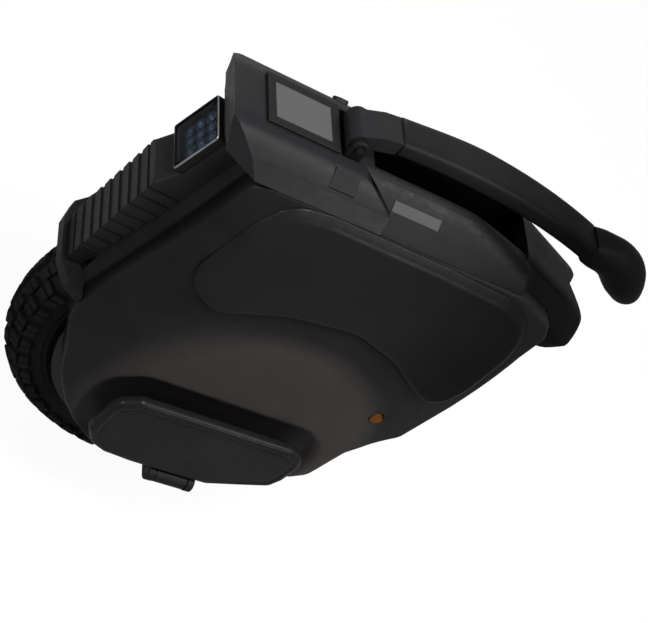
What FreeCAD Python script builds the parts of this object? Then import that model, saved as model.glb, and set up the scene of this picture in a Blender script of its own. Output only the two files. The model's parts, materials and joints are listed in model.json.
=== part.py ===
import FreeCAD, Part
import math
import os

# An electric unicycle, upright on its tyre, in millimetres.
# The origin is where the tyre meets the ground under the axle. +X is forwards, +Y the rider's left, +Z up.
# Heights below are measured from the axle unless their name says otherwise.

V = FreeCAD.Vector

# Fits
seat_gap = 0.05
running_gap = 0.05
slide_gap = 0.1
soft_gap = 0.3
overrun = 5.0

# Tyre and tube
tyre_outer_radius = 235.0
tyre_section_radius = 37.0
tyre_wall = 8.0
tread_height = 5.5
carcass_sides = 24
tread_sink = 1.0
tread_count = 44
tread_length_share = 0.62
tread_row_shares = [(0.08, 0.32), (0.36, 0.86)]
bead_drop_share = 0.62
tube_gap = 0.3
tube_wall = 2.5
tyre_clearance = 8.0
side_clearance = 6.0

# Rim and motor drum
rim_flange_width = 3.0
rim_flange_height = 7.0
channel_gap = 0.5
drum_wall = 13.0
valve_radius = 3.5
valve_start_depth = 5.0
valve_proud = 4.0
valve_end_drop = 8.0

# Motor
magnet_thickness = 7.0
magnet_half_width = 20.0
air_gap = 0.8
stator_half_width = 18.0
stator_web_half_width = 6.0
stator_hub_radius = 30.0
yoke_width = 34.0
tooth_count = 24
tooth_length = 38.0
tooth_width = 13.0
coil_thickness = 5.0
coil_inset = 2.0
coil_overhang = 5.0
coil_room = 2.0
cover_thickness = 5.0
cover_ledge = 8.0
cover_screw_count = 8
cover_screw_radius = 2.0
cover_screw_head_radius = 3.4
cover_screw_head_height = 2.4
cover_screw_depth = 7.0

# Axle and bearings
axle_radius = 15.0
axle_end_radius = 12.0
axle_end_proud = 10.0
bearing_outer_radius = 26.0
bearing_width = 9.0
boss_wall = 7.0
seal_lip = 2.0
seal_gap = 2.0
nut_across_flats = 32.0
nut_sides = 6
nut_height = 8.0

# Wheel well frame
well_wall = 4.0
well_plate = 4.0
well_hole_gap = 3.0
well_foot_share = 0.1
deck_gap = 3.0
deck_thickness = 4.0
bay_height = 75.0

# Side shells
front_setback = 18.0
rear_setback = 19.0
shell_drop = 110.0
shell_wall = 4.0
shell_room = 45.0
shell_top_draw_in = 22.5
shell_front_draw_in = 26.0
shell_rear_draw_in = 8.0
lean_foot_share = 0.47
front_taper_share = 0.55
rear_taper_share = 0.75
bulge_out = 8.0
bulge_radius_share = 0.638
bulge_spread_share = 0.319
bulge_depth = 25.0
shell_screw_radius = 3.0
shell_screw_head_radius = 5.5
shell_screw_head_height = 3.0
shell_screw_shares = [(0.36, 0.9), (-0.42, 0.9), (-0.8, 0.6), (0.66, 0.6)]

# Side outline of a shell: shares of its reach ahead of or behind the axle, and of its rise above or drop
# below it
shell_outline_shares = [
    (0.68, 1.0), (0.76, 0.966), (0.865, 0.584), (0.972, 0.217), (0.965, 0.165), (0.92, 0.09),
    (0.843, -0.142), (0.728, -0.483), (0.599, -0.775), (0.46, -0.975), (0.35, -1.0),
    (-0.28, -0.955), (-0.417, -0.8), (-0.58, -0.56), (-0.685, -0.4), (-0.7, -0.07), (-0.718, 0.06),
    (-0.833, 0.14), (-0.917, 0.2), (-0.958, 0.441), (-0.981, 0.773), (-1.0, 0.882), (-0.949, 0.938),
    (-0.694, 1.0),
]
edge_top_index = 1
edge_mid_index = 2
edge_low_index = 3
rear_low_index = 18
rear_top_index = 21
rear_shoulder_index = 22
top_rear_index = 23

# Side pads
pad_thickness = 9.0
pad_draw_in = 2.5
pad_crown_inset = 22.0
pad_belly_share = 0.45
pad_shoulder_share = 0.8
pad_shoulder_inset = 6.0
pad_outline_shares = [
    (0.52, 0.985), (0.37, 1.0), (-0.26, 0.993), (-0.66, 0.978), (-0.8, 0.94), (-0.89, 0.875),
    (-0.925, 0.77), (-0.905, 0.57), (-0.85, 0.482), (-0.75, 0.452), (-0.66, 0.475), (-0.43, 0.565),
    (-0.14, 0.62), (0.18, 0.59), (0.36, 0.545), (0.5, 0.5), (0.6, 0.52), (0.7, 0.59),
    (0.725, 0.655), (0.66, 0.86), (0.59, 0.955),
]

# Batteries
battery_top_share = 0.75
battery_bottom_share = 0.32
battery_front_share = 0.6
battery_rear_share = 0.72
battery_gap = 1.0
cable_lane = 8.0

# Front mudguard: a narrow nose with louvre ribs, and a lip below
guard_wall = 4.0
guard_foot = 70.0
guard_knee_rise = 30.0
guard_top_share = 0.69
nose_setback = 3.0
nose_lean = 12.0
nose_half_width = 26.0
nose_root_half_width = 30.0
lip_height = 12.0
lip_proud = 5.0
lip_bow = 10.0
lip_half_width = 64.0
lip_shoulder_share = 0.8
rib_count = 9
rib_thickness = 11.0
rib_proud = 3.0
rib_foot_length = 16.0
rib_top_length = 35.0
rib_top_margin = 8.0
rib_foot_margin = 8.0

# Headlight
lamp_head_setback = 45.0
lamp_foot_setback = 31.0
lamp_foot_rise = 31.0
scoop_rise = 10.0
lamp_width = 54.0
lamp_height = 60.0
lamp_depth = 10.0
lamp_centre_drop = 40.0
lamp_sink = 2.5
bezel_wall = 2.5
lens_thickness = 3.0
led_board_thickness = 2.0
led_radius = 4.0
led_height = 3.0
led_columns = 3
led_rows = 3

# Head cover with the display
head_rise = 35.0
head_wall = 3.0
head_front_setback = 22.0
head_nose_setback = 35.0
head_rear = 52.0
seam_top = 74.0
seam_low = 30.0
seam_low_rise = 15.5
head_flat_half_width = 41.0
head_shoulder_half_width = 60.0
head_shoulder_drop = 19.0
head_front_half_width = 38.0
head_corner_setback = 65.0
display_centre = 140.0
screen_length = 61.0
screen_width = 42.0
screen_thickness = 2.0
screen_fit_gap = 0.2
display_frame_length = 79.0
display_frame_width = 60.0
display_frame_thickness = 3.0
screen_sink = 0.6
board_thickness = 1.6
board_margin = 4.0
post_radius = 3.0
post_height = 4.0
buzzer_radius = 11.0
buzzer_height = 9.0

# Hinge of the carrying handle
hinge_x = 84.0
hinge_rise = 44.0
barrel_radius = 13.0
barrel_half_width = 18.0
pin_radius = 4.0
pin_proud = 2.0
ear_gap = 0.4
ear_width = 5.6
ear_radius = 9.0
pocket_depth = 8.0
pocket_half_width = 29.0
pocket_front_gap = 1.0
yoke_plate = 2.5

# Handle arm and grip
root_length = 35.0
root_rise = 10.0
root_bend_share = 0.5
root_bend_drop = 2.5
arm_half_width = 17.0
arm_thickness = 16.0
arm_gap = 0.2
arm_rear_reach = 215.0
arm_rear_drop = 20.0
arm_crown_share = 0.42
arm_crown_rise = 11.5
grip_reach = 109.0
grip_drop = 41.0
grip_radius = 24.0
grip_station_shares = [0.0, 0.12, 0.4, 0.7, 0.9, 1.0]
grip_radius_shares = [0.62, 0.79, 0.97, 0.99, 0.62, 0.26]
grip_sag_shares = [0.0, 0.0, 0.08, 0.51, 0.88, 1.0]
lift_button_radius = 6.0
lift_button_travel = 1.5
lift_button_proud = 2.5
lift_button_length = 8.0
lift_button_share = 0.55

# Middle cover under the handle, with its hand channel
channel_half_width = 26.0
ridge_width = 3.5
ridge_rise = 38.0
channel_floor_drop = 22.0
mid_wall = 3.0
mid_slope_start = 62.0
mid_slope_drop = 24.0
label_length = 56.0
label_width = 11.0
label_thickness = 0.8
label_centre = 1.0
label_down_share = 0.45

# Tail cover and rear mudguard
tail_rise = 17.0
tail_overhang = 56.0
tail_fall = 46.0
tail_outline_shares = [(0.0, 0.0), (0.45, 0.3), (0.75, 0.65), (1.0, 1.0), (0.985, 1.28)]
tail_chin_share = 0.43
tail_chin_drop_share = 1.76
tail_half_width = 63.0
tail_top_half_width = 34.0
tail_slope_drop = 26.0
tail_corner_setback = 10.0
tail_lobe_half_width = 30.0
tail_notch_depth = 24.0
tail_wall = 3.0
taillight_half_width = 30.0
taillight_height = 14.0
taillight_thickness = 3.5
taillight_sink = 1.5
taillight_drop = 24.0
rear_guard_foot = 45.0

# Control electronics
heatsink_length = 150.0
heatsink_half_width = 36.0
heatsink_base = 5.0
heatsink_fin_height = 10.0
heatsink_fin_count = 9
heatsink_fin_thickness = 2.0
board_length = 76.0
board_half_width = 36.0
capacitor_radius = 9.0
capacitor_height = 30.0
capacitor_count = 3
capacitor_share = 0.33
buzzer_share = 0.75
post_shares = [0.17, 0.83]

# Charge socket and its cover, on the left shoulder
port_x = 88.0
port_length = 28.0
port_width = 20.0
port_thickness = 2.5
port_gap = 0.3
port_floor_gap = 0.7
port_pin_radius = 1.2
port_pin_length = 3.0
socket_radius = 8.0
socket_bore_radius = 6.5
socket_length = 16.0
socket_bore_length = 13.0

# Power button, on the right shoulder
button_radius = 8.0
button_length = 9.0
button_travel = 2.0
button_rim = 1.0
button_flange_radius = 10.5
button_flange_height = 2.0

# Pedals and their hangers
pedal_length = 238.0
pedal_depth = 110.0
pedal_thickness = 14.0
pedal_edge_inset = 7.0
pedal_centre_x = 10.0
pedal_gap = 6.0
pedal_lift = 14.0
grip_pad_thickness = 3.0
grip_pad_margin = 12.0
pedal_hinge_drop = 105.0
pedal_barrel_radius = 10.0
pedal_barrel_half_width = 20.0
pedal_pin_radius = 4.0
pedal_ear_width = 8.0
pedal_ear_gap = 0.5
foot_clearance = 4.0
foot_drop = 10.5
hanger_half_width = 35.0
hanger_thickness = 10.0
hanger_top_margin = 24.0
hanger_bolt_radius = 4.0
hanger_bolt_head_radius = 7.0
hanger_bolt_head_height = 5.0
hanger_bolt_spread = 22.0
hanger_bolt_margin = 12.0
notch_gap = 4.0
pedal_outline_shares = [
    (-0.4, 0.0), (0.41, 0.0), (0.706, 0.035), (0.874, 0.127), (0.983, 0.32), (1.0, 0.46),
    (1.0, 0.78), (0.95, 0.89), (0.8, 1.0), (-0.8, 1.0), (-0.95, 0.89), (-1.0, 0.78),
    (-1.0, 0.48), (-0.95, 0.3), (-0.756, 0.19),
]

# Amber reflectors in the shells
reflector_radius = 7.0
reflector_x = -141.0
reflector_height = 92.0
reflector_proud = 1.5

# Motor cable
cable_radius = 4.0
cable_bend_share = 0.95

# Sizes worked out from those above
axle_height = tyre_outer_radius
tyre_centre_radius = tyre_outer_radius - tyre_section_radius
tyre_inner_radius = tyre_section_radius - tyre_wall
tube_radius = tyre_inner_radius - tube_gap
bead_drop = bead_drop_share * tyre_section_radius
rim_seat_radius = tyre_centre_radius - bead_drop
rim_half_width = tyre_section_radius
rim_channel_half_width = math.sqrt(tube_radius ** 2 - bead_drop ** 2) + tube_gap
rim_channel_radius = tyre_centre_radius - tube_radius - channel_gap
drum_radius = rim_channel_radius - drum_wall
cover_radius = drum_radius + cover_ledge
magnet_inner_radius = drum_radius - magnet_thickness
stator_radius = magnet_inner_radius - air_gap
slot_radius = stator_radius - tooth_length
cover_inner = stator_half_width + coil_overhang + coil_room
cover_outer = cover_inner + cover_thickness
boss_outer = cover_inner + bearing_width + seal_lip
well_half_width = tyre_section_radius + side_clearance
plate_outer = well_half_width + well_plate
well_inner_radius = tyre_outer_radius + tyre_clearance
well_outer_radius = well_inner_radius + well_wall
well_hole_radius = rim_seat_radius + rim_flange_height + well_hole_gap
shell_half_width = plate_outer + shell_room
shell_top_half_width = shell_half_width - shell_top_draw_in
shell_front_half_width = shell_half_width - shell_front_draw_in
shell_rear_half_width = shell_half_width - shell_rear_draw_in
shell_rise = well_outer_radius + bay_height
shell_front_reach = tyre_outer_radius - front_setback
shell_rear_reach = tyre_outer_radius - rear_setback
lean_foot = lean_foot_share * shell_rise
lean_slope = (shell_half_width - shell_top_half_width) / (shell_rise - lean_foot)
lean_angle = math.degrees(math.atan(lean_slope))
bulge_half_width = shell_half_width + bulge_out
bulge_radius = bulge_radius_share * tyre_outer_radius
bulge_spread = bulge_spread_share * tyre_outer_radius
hanger_outer = plate_outer + hanger_thickness
tail_front = -shell_outline_shares[top_rear_index][0] * shell_rear_reach
tail_reach = shell_rear_reach + tail_overhang
axle_end = hanger_outer + axle_end_proud
deck_top = well_outer_radius + deck_gap + deck_thickness
head_top = shell_rise + head_rise
hinge_height = shell_rise + hinge_rise
ridge_top = shell_rise + ridge_rise
channel_floor = shell_rise - channel_floor_drop
button_proud = button_travel + button_rim
pedal_inner = bulge_half_width + pedal_gap
pedal_outer = pedal_inner + pedal_thickness
pedal_hinge_y = (pedal_inner + pedal_outer) / 2
pedal_foot = pedal_lift - pedal_hinge_drop
ear_reach = pedal_barrel_half_width + pedal_ear_gap + pedal_ear_width


def at(x, y, height):
    """A point, with its height measured from the axle."""
    return V(x, y, axle_height + height)


def block(x0, x1, y0, y1, h0, h1):
    return Part.makeBox(x1 - x0, y1 - y0, h1 - h0, at(x0, y0, h0))


def face_of(corners):
    return Part.Face(Part.makePolygon(corners + corners[:1]))


def side_prism(points, y0, y1):
    """Extrudes an outline of x and height along Y."""
    return face_of([at(x, y0, h) for x, h in points]).extrude(V(0, y1 - y0, 0))


def section_prism(points, x0, x1):
    """Extrudes an outline of y and height along X."""
    return face_of([at(x0, y, h) for y, h in points]).extrude(V(x1 - x0, 0, 0))


def plan_prism(points, h0, h1):
    """Extrudes an outline of x and y upwards."""
    return face_of([at(x, y, h0) for x, y in points]).extrude(V(0, 0, h1 - h0))


def rod(start, end, radius):
    """A round bar between two points."""
    along = end - start
    return Part.makeCylinder(radius, along.Length, start, along)


def cross_rod(radius, y0, y1, x=0, height=0):
    """A round bar across the machine."""
    return rod(at(x, y0, height), at(x, y1, height), radius)


def cross_ring(inner, outer, y0, y1):
    """A ring about the axle."""
    return cross_rod(outer, y0, y1).cut(cross_rod(inner, y0 - overrun, y1 + overrun))


def spun(points):
    """Turns an outline of radius and y about the axle."""
    return face_of([at(radius, y, 0) for radius, y in points]).revolve(at(0, 0, 0), V(0, 1, 0), 360)


def torus(section_radius):
    """A ring of round section where the tyre's tube runs."""
    return Part.makeTorus(tyre_centre_radius, section_radius, at(0, 0, 0), V(0, 1, 0))


def mirrored(shape):
    return shape.mirror(V(0, 0, 0), V(0, 1, 0))


def both_sides(points):
    """An outline of y and height on the left, completed with its mirror image."""
    return points + [(-y, h) for y, h in reversed(points)]


def mirror_outline(points):
    """An outline of x and y on the left, completed with its mirror image."""
    return points + [(x, -y) for x, y in reversed(points)]


def inset(points, distance):
    """Moves every edge of an outline inwards by a distance."""
    count = len(points)
    area = sum(points[i - 1][0] * points[i][1] - points[i][0] * points[i - 1][1] for i in range(count))
    turn = math.copysign(1, area)
    moved = []
    for i in range(count):
        (ax, ay), (bx, by), (cx, cy) = points[i - 1], points[i], points[(i + 1) % count]
        before = math.hypot(bx - ax, by - ay)
        after = math.hypot(cx - bx, cy - by)
        n1 = (-(by - ay) / before * turn, (bx - ax) / before * turn)
        n2 = (-(cy - by) / after * turn, (cx - bx) / after * turn)
        reach = distance / (1 + n1[0] * n2[0] + n1[1] * n2[1])
        moved.append((bx + (n1[0] + n2[0]) * reach, by + (n1[1] + n2[1]) * reach))
    return moved


def loft(sections):
    """A ruled solid through closed outlines with as many corners each."""
    return Part.makeLoft([Part.makePolygon(s + s[:1]) for s in sections], True, True)


def shell_point(shares):
    """A point of a shell's side outline, from its shares."""
    reach = shell_front_reach if shares[0] > 0 else shell_rear_reach
    rise = shell_rise if shares[1] > 0 else shell_drop
    return shares[0] * reach, shares[1] * rise


def lean(height):
    """Half width of the leaning side at a height."""
    return shell_half_width - max(height - lean_foot, 0) * lean_slope


def side_surface(x, height):
    """Half width of a shell at a place, where the lean and the tapers towards its ends meet."""
    reach = shell_front_reach if x > 0 else shell_rear_reach
    start = (front_taper_share if x > 0 else rear_taper_share) * reach
    end = shell_front_half_width if x > 0 else shell_rear_half_width
    share = max(abs(x) - start, 0) / (reach - start)
    return min(lean(height), shell_half_width - share * (shell_half_width - end))


def on_line(first, second, height):
    """The x at a height on the line through two points."""
    share = (height - first[1]) / (second[1] - first[1])
    return first[0] + share * (second[0] - first[0])


def edge_x(line, height):
    """The x at a height on a line of points that climbs."""
    above = [i for i in range(1, len(line)) if line[i][1] >= height]
    i = above[0] if above else len(line) - 1
    return on_line(line[i - 1], line[i], height)


def edge_between(line, low, high):
    """The part of a climbing line between two heights."""
    inner = [p for p in line if low < p[1] < high]
    return [(edge_x(line, low), low)] + inner + [(edge_x(line, high), high)]


def strip(line, thickness, half_width):
    """A panel on a climbing line, ahead of it, or behind it when the thickness is negative."""
    return side_prism(line + [(x + thickness, h) for x, h in reversed(line)], -half_width, half_width)


def hinge_rod(x0, x1, radius):
    """A round bar on the left pedal's hinge line."""
    return rod(at(x0, pedal_hinge_y, -pedal_hinge_drop), at(x1, pedal_hinge_y, -pedal_hinge_drop), radius)


def sheet(length, width, h0, h1):
    """A flat piece under or in the display, about its middle."""
    return block(display_centre - length / 2, display_centre + length / 2, -width / 2, width / 2, h0, h1)


def save(name, shape):
    shape.exportStep("parts/" + name + ".step")


def save_pair(name, shape):
    """Saves a left piece and its mirror image."""
    save(name + "_left", shape)
    save(name + "_right", mirrored(shape))


shell_outline = [shell_point(s) for s in shell_outline_shares]
edge_top = shell_outline[edge_top_index]
edge_mid = shell_outline[edge_mid_index]
edge_low = shell_outline[edge_low_index]
front_line = [shell_outline[edge_low_index + 1], edge_low, edge_mid, edge_top]
rear_low = shell_outline[rear_low_index]
rear_top = shell_outline[rear_top_index]
rear_shoulder = shell_outline[rear_shoulder_index]
top_rear = shell_outline[top_rear_index]
rear_line = shell_outline[rear_low_index:rear_top_index + 1]


# Wheel

def make_valve():
    """The valve slants from the tube out through the side of the rim."""
    start = at(tyre_centre_radius - tube_radius + valve_start_depth, 0, 0)
    end = at(rim_seat_radius - valve_end_drop, rim_half_width + valve_proud, 0)
    return start, end


def make_wheel():
    valve_start, valve_end = make_valve()
    cavity = torus(tyre_inner_radius)
    tyre = spun(carcass_section()).cut(cavity)
    tyre = tyre.cut(cross_rod(rim_seat_radius, -tyre_outer_radius, tyre_outer_radius))
    save("tyre", tyre.multiFuse(tread_blocks()))
    tube = torus(tube_radius)
    save("inner_tube", tube.cut(torus(tube_radius - tube_wall)))
    save("valve_stem", rod(valve_start, valve_end, valve_radius).cut(tube))

    flange_inner = rim_half_width - rim_flange_width
    flange_radius = rim_seat_radius + rim_flange_height
    half = [
        (rim_channel_radius, rim_channel_half_width), (rim_seat_radius, rim_channel_half_width),
        (rim_seat_radius, flange_inner), (flange_radius, flange_inner), (flange_radius, rim_half_width),
        (cover_radius, rim_half_width), (cover_radius, cover_inner), (drum_radius, cover_inner),
    ]
    rim = spun(half + [(r, -y) for r, y in reversed(half)])
    hole_end = valve_end + (valve_end - valve_start)
    rim = rim.cut(rod(valve_start, hole_end, valve_radius + seat_gap))
    screw_circle = (drum_radius + cover_radius) / 2
    covers = cover_disc()
    screws = []
    for i in range(cover_screw_count):
        angle = math.radians((i + 1 / 2) * 360 / cover_screw_count)
        x = screw_circle * math.cos(angle)
        h = screw_circle * math.sin(angle)
        hole = cross_rod(cover_screw_radius + seat_gap, cover_inner - cover_screw_depth,
                         cover_outer + overrun, x, h)
        covers = covers.cut(hole)
        rim = rim.cut(hole).cut(mirrored(hole))
        shank = cross_rod(cover_screw_radius, cover_inner - cover_screw_depth, cover_outer, x, h)
        head = cross_rod(cover_screw_head_radius, cover_outer, cover_outer + cover_screw_head_height, x, h)
        screw = shank.fuse(head)
        screws += [screw, mirrored(screw)]
    save("motor_rim", rim)
    save_pair("motor_cover", covers)
    save("motor_cover_screws", Part.makeCompound(screws))
    save("magnet_ring", cross_ring(magnet_inner_radius, drum_radius, -magnet_half_width, magnet_half_width))
    bearing = cross_ring(axle_radius + running_gap, bearing_outer_radius, cover_inner,
                         cover_inner + bearing_width)
    save_pair("bearing", bearing)


def carcass_section():
    """The tyre's section under its tread, as an outline of radius and y."""
    radius = tyre_section_radius - tread_height
    turns = [2 * math.pi * i / carcass_sides for i in range(carcass_sides)]
    return [(tyre_centre_radius + radius * math.cos(a), radius * math.sin(a)) for a in turns]


def tread_blocks():
    """Staggered blocks round the tyre, two rows a side. A row is shares of a quarter turn of the section."""
    pitch = 360 / tread_count
    blocks = []
    for row, (low, high) in enumerate(tread_row_shares):
        for side in (-1, 1):
            corners = []
            turns = [low, (low + high) / 2, high]
            for radius in (tyre_section_radius - tread_height - tread_sink, tyre_section_radius):
                turns.reverse()
                for turn in turns:
                    angle = side * turn * math.pi / 2
                    corners.append(at(tyre_centre_radius + radius * math.cos(angle),
                                      radius * math.sin(angle), 0))
            first = face_of(corners).revolve(at(0, 0, 0), V(0, 1, 0), tread_length_share * pitch)
            shift = pitch / 2 * (row + (side > 0))
            blocks += [first.rotated(at(0, 0, 0), V(0, 1, 0), shift + i * pitch) for i in range(tread_count)]
    return blocks


def cover_disc():
    """The left end cover of the motor, with its bearing seat and seal lip."""
    disc = cross_rod(cover_radius - seat_gap, cover_inner, cover_outer)
    boss = cross_rod(bearing_outer_radius + boss_wall, cover_inner, boss_outer)
    seat = cross_rod(bearing_outer_radius + seat_gap, cover_inner - overrun, cover_inner + bearing_width)
    eye = cross_rod(axle_radius + seal_gap, cover_inner, boss_outer + overrun)
    return disc.fuse(boss).cut(seat).cut(eye)


def make_stator():
    yoke = cross_ring(slot_radius - yoke_width, slot_radius, -stator_half_width, stator_half_width)
    web = cross_ring(axle_radius + seat_gap, slot_radius - yoke_width / 2, -stator_web_half_width,
                     stator_web_half_width)
    hub = cross_ring(axle_radius + seat_gap, stator_hub_radius, -stator_half_width, stator_half_width)
    core = yoke.fuse(web).fuse(hub)
    coils = []
    tip = block(0, stator_radius, -stator_half_width, stator_half_width, -tooth_width / 2, tooth_width / 2)
    tip = tip.common(cross_rod(stator_radius, -stator_half_width, stator_half_width))
    tip = tip.cut(cross_rod(slot_radius - yoke_width / 2, -stator_half_width, stator_half_width))
    coil_half = tooth_width / 2 + coil_thickness
    reach = stator_half_width + coil_overhang
    coil = block(slot_radius + coil_inset, stator_radius - coil_inset, -reach, reach, -coil_half, coil_half)
    room = stator_half_width + seat_gap
    bar = tooth_width / 2 + seat_gap
    coil = coil.cut(block(0, stator_radius, -room, room, -bar, bar))
    for i in range(tooth_count):
        angle = i * 360 / tooth_count
        core = core.fuse(tip.rotated(at(0, 0, 0), V(0, 1, 0), angle))
        coils.append(coil.rotated(at(0, 0, 0), V(0, 1, 0), angle))
    save("stator_core", core.removeSplitter())
    save("stator_windings", Part.makeCompound(coils))


def make_axle():
    axle = cross_rod(axle_radius, -plate_outer, plate_outer)
    save("axle", axle.fuse(cross_rod(axle_end_radius, -axle_end, axle_end)))
    corner = nut_across_flats / 2 / math.cos(math.pi / nut_sides)
    corners = [2 * math.pi * i / nut_sides for i in range(nut_sides)]
    outline = [(corner * math.cos(a), corner * math.sin(a)) for a in corners]
    nut = side_prism(outline, hanger_outer, hanger_outer + nut_height)
    nut = nut.cut(cross_rod(axle_end_radius + seat_gap, hanger_outer - overrun, axle_end + overrun))
    save("axle_nuts", Part.makeCompound([nut, mirrored(nut)]))


# Frame round the wheel

def bolt_places():
    height = well_hole_radius + hanger_bolt_margin
    return [(-hanger_bolt_spread / 2, height), (hanger_bolt_spread / 2, height)]


def cable_hole():
    """Where the motor cable goes in over the deck."""
    return deck_top + heatsink_base + heatsink_fin_height


def make_well():
    foot = well_foot_share * shell_rise
    plate = side_prism(shell_outline, well_half_width, plate_outer)
    plate = plate.cut(cross_rod(well_hole_radius, 0, plate_outer + overrun))
    low = block(-shell_rear_reach, shell_front_reach, 0, plate_outer + overrun, -shell_drop - overrun, foot)
    plate = plate.cut(low)
    for x, height in bolt_places():
        plate = plate.cut(cross_rod(hanger_bolt_radius + seat_gap, 0, plate_outer + overrun, x, height))
    plate = plate.cut(cross_rod(cable_radius + overrun, 0, plate_outer + overrun, 0, cable_hole()))
    arch = cross_ring(well_inner_radius, well_outer_radius, -well_half_width, well_half_width)
    arch = arch.common(side_prism(shell_outline, -well_half_width, well_half_width))
    arch = arch.cut(block(-tyre_outer_radius, tyre_outer_radius, -plate_outer, plate_outer,
                          -shell_drop - overrun, foot))
    front = edge_x(front_line, deck_top)
    rear = edge_x(rear_line, deck_top - deck_thickness)
    deck = block(rear, front, -well_half_width, well_half_width, deck_top - deck_thickness, deck_top)
    well = plate.fuse(mirrored(plate)).fuse(arch).fuse(deck)
    save("wheel_well", well.removeSplitter())


def make_hangers():
    top = well_hole_radius + hanger_top_margin
    bottom = -pedal_hinge_drop - foot_drop
    arm = block(-hanger_half_width, hanger_half_width, plate_outer, hanger_outer, bottom, top)
    arm = arm.cut(cross_rod(axle_end_radius + seat_gap, 0, axle_end))
    bolts = []
    for x, height in bolt_places():
        arm = arm.cut(cross_rod(hanger_bolt_radius + seat_gap, 0, axle_end, x, height))
        shank = cross_rod(hanger_bolt_radius, well_half_width, hanger_outer, x, height)
        head_end = hanger_outer + hanger_bolt_head_height
        bolt = shank.fuse(cross_rod(hanger_bolt_head_radius, hanger_outer, head_end, x, height))
        bolts += [bolt, mirrored(bolt)]
    foot_end = pedal_hinge_y - pedal_barrel_radius - foot_clearance
    foot_top = -pedal_hinge_drop + foot_drop
    foot = block(-ear_reach, ear_reach, plate_outer, foot_end, bottom, foot_top)
    for x0, x1 in ((-ear_reach, pedal_ear_width - ear_reach), (ear_reach - pedal_ear_width, ear_reach)):
        ear = block(x0, x1, foot_end, pedal_hinge_y, bottom, foot_top)
        foot = foot.fuse(ear).fuse(hinge_rod(x0, x1, foot_drop))
    hole = hinge_rod(-ear_reach - overrun, ear_reach + overrun, pedal_pin_radius + seat_gap)
    save_pair("hanger", arm.fuse(foot).cut(hole).removeSplitter())
    save("hanger_bolts", Part.makeCompound(bolts))
    pin = hinge_rod(-ear_reach, ear_reach, pedal_pin_radius)
    save("pedal_pins", Part.makeCompound([pin, mirrored(pin)]))


# Pedals, stowed upright against the shells

def pedal_outline():
    """The stowed pedal's outline in x and height."""
    half = pedal_length / 2
    return [(pedal_centre_x + s * half, pedal_foot + t * pedal_depth) for s, t in pedal_outline_shares]


def make_pedals():
    def section(margin, y):
        return [at(x, y, h) for x, h in inset(pedal_outline(), margin)]

    belly = pedal_outer - pedal_edge_inset
    plate = loft([section(pedal_edge_inset / 2, pedal_inner), section(0, (pedal_inner + belly) / 2),
                  section(0, belly), section(pedal_edge_inset, pedal_outer)])
    near = -pedal_barrel_half_width
    far = pedal_barrel_half_width
    barrel = hinge_rod(near, far, pedal_barrel_radius)
    neck = block(near, far, pedal_inner, belly, -pedal_hinge_drop, pedal_foot + pedal_edge_inset)
    bore = hinge_rod(near - overrun, far + overrun, pedal_pin_radius + running_gap)
    save_pair("pedal", plate.fuse(barrel).fuse(neck).cut(bore).removeSplitter())
    grip = side_prism(inset(pedal_outline(), grip_pad_margin), pedal_inner - grip_pad_thickness,
                      pedal_inner)
    save_pair("pedal_grip", grip)


# Side shells with what they hold

def shell_body(wall):
    """The outer form of the left shell, drawn in by a wall and open towards the wheel."""
    side = side_prism(inset(shell_outline, wall) if wall else shell_outline, plate_outer - overrun,
                      bulge_half_width)
    section = [(plate_outer - overrun, -shell_drop - overrun),
               (shell_half_width - wall, -shell_drop - overrun),
               (shell_half_width - wall, lean_foot), (shell_top_half_width - wall, shell_rise),
               (plate_outer - overrun, shell_rise)]
    front_start = front_taper_share * shell_front_reach
    rear_start = -rear_taper_share * shell_rear_reach
    plan = [(shell_front_reach, plate_outer - overrun), (shell_front_reach, shell_front_half_width - wall),
            (front_start, shell_half_width - wall), (rear_start, shell_half_width - wall),
            (-shell_rear_reach, shell_rear_half_width - wall), (-shell_rear_reach, plate_outer - overrun)]
    body = side.common(section_prism(section, -shell_rear_reach, shell_front_reach))
    body = body.common(plan_prism(plan, -shell_drop - overrun, shell_rise))
    start = at(0, bulge_half_width - wall - bulge_depth, 0)
    bulge = Part.makeCone(bulge_radius + bulge_spread, bulge_radius, bulge_depth, start, V(0, 1, 0))
    return body.fuse(bulge.common(side))


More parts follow.
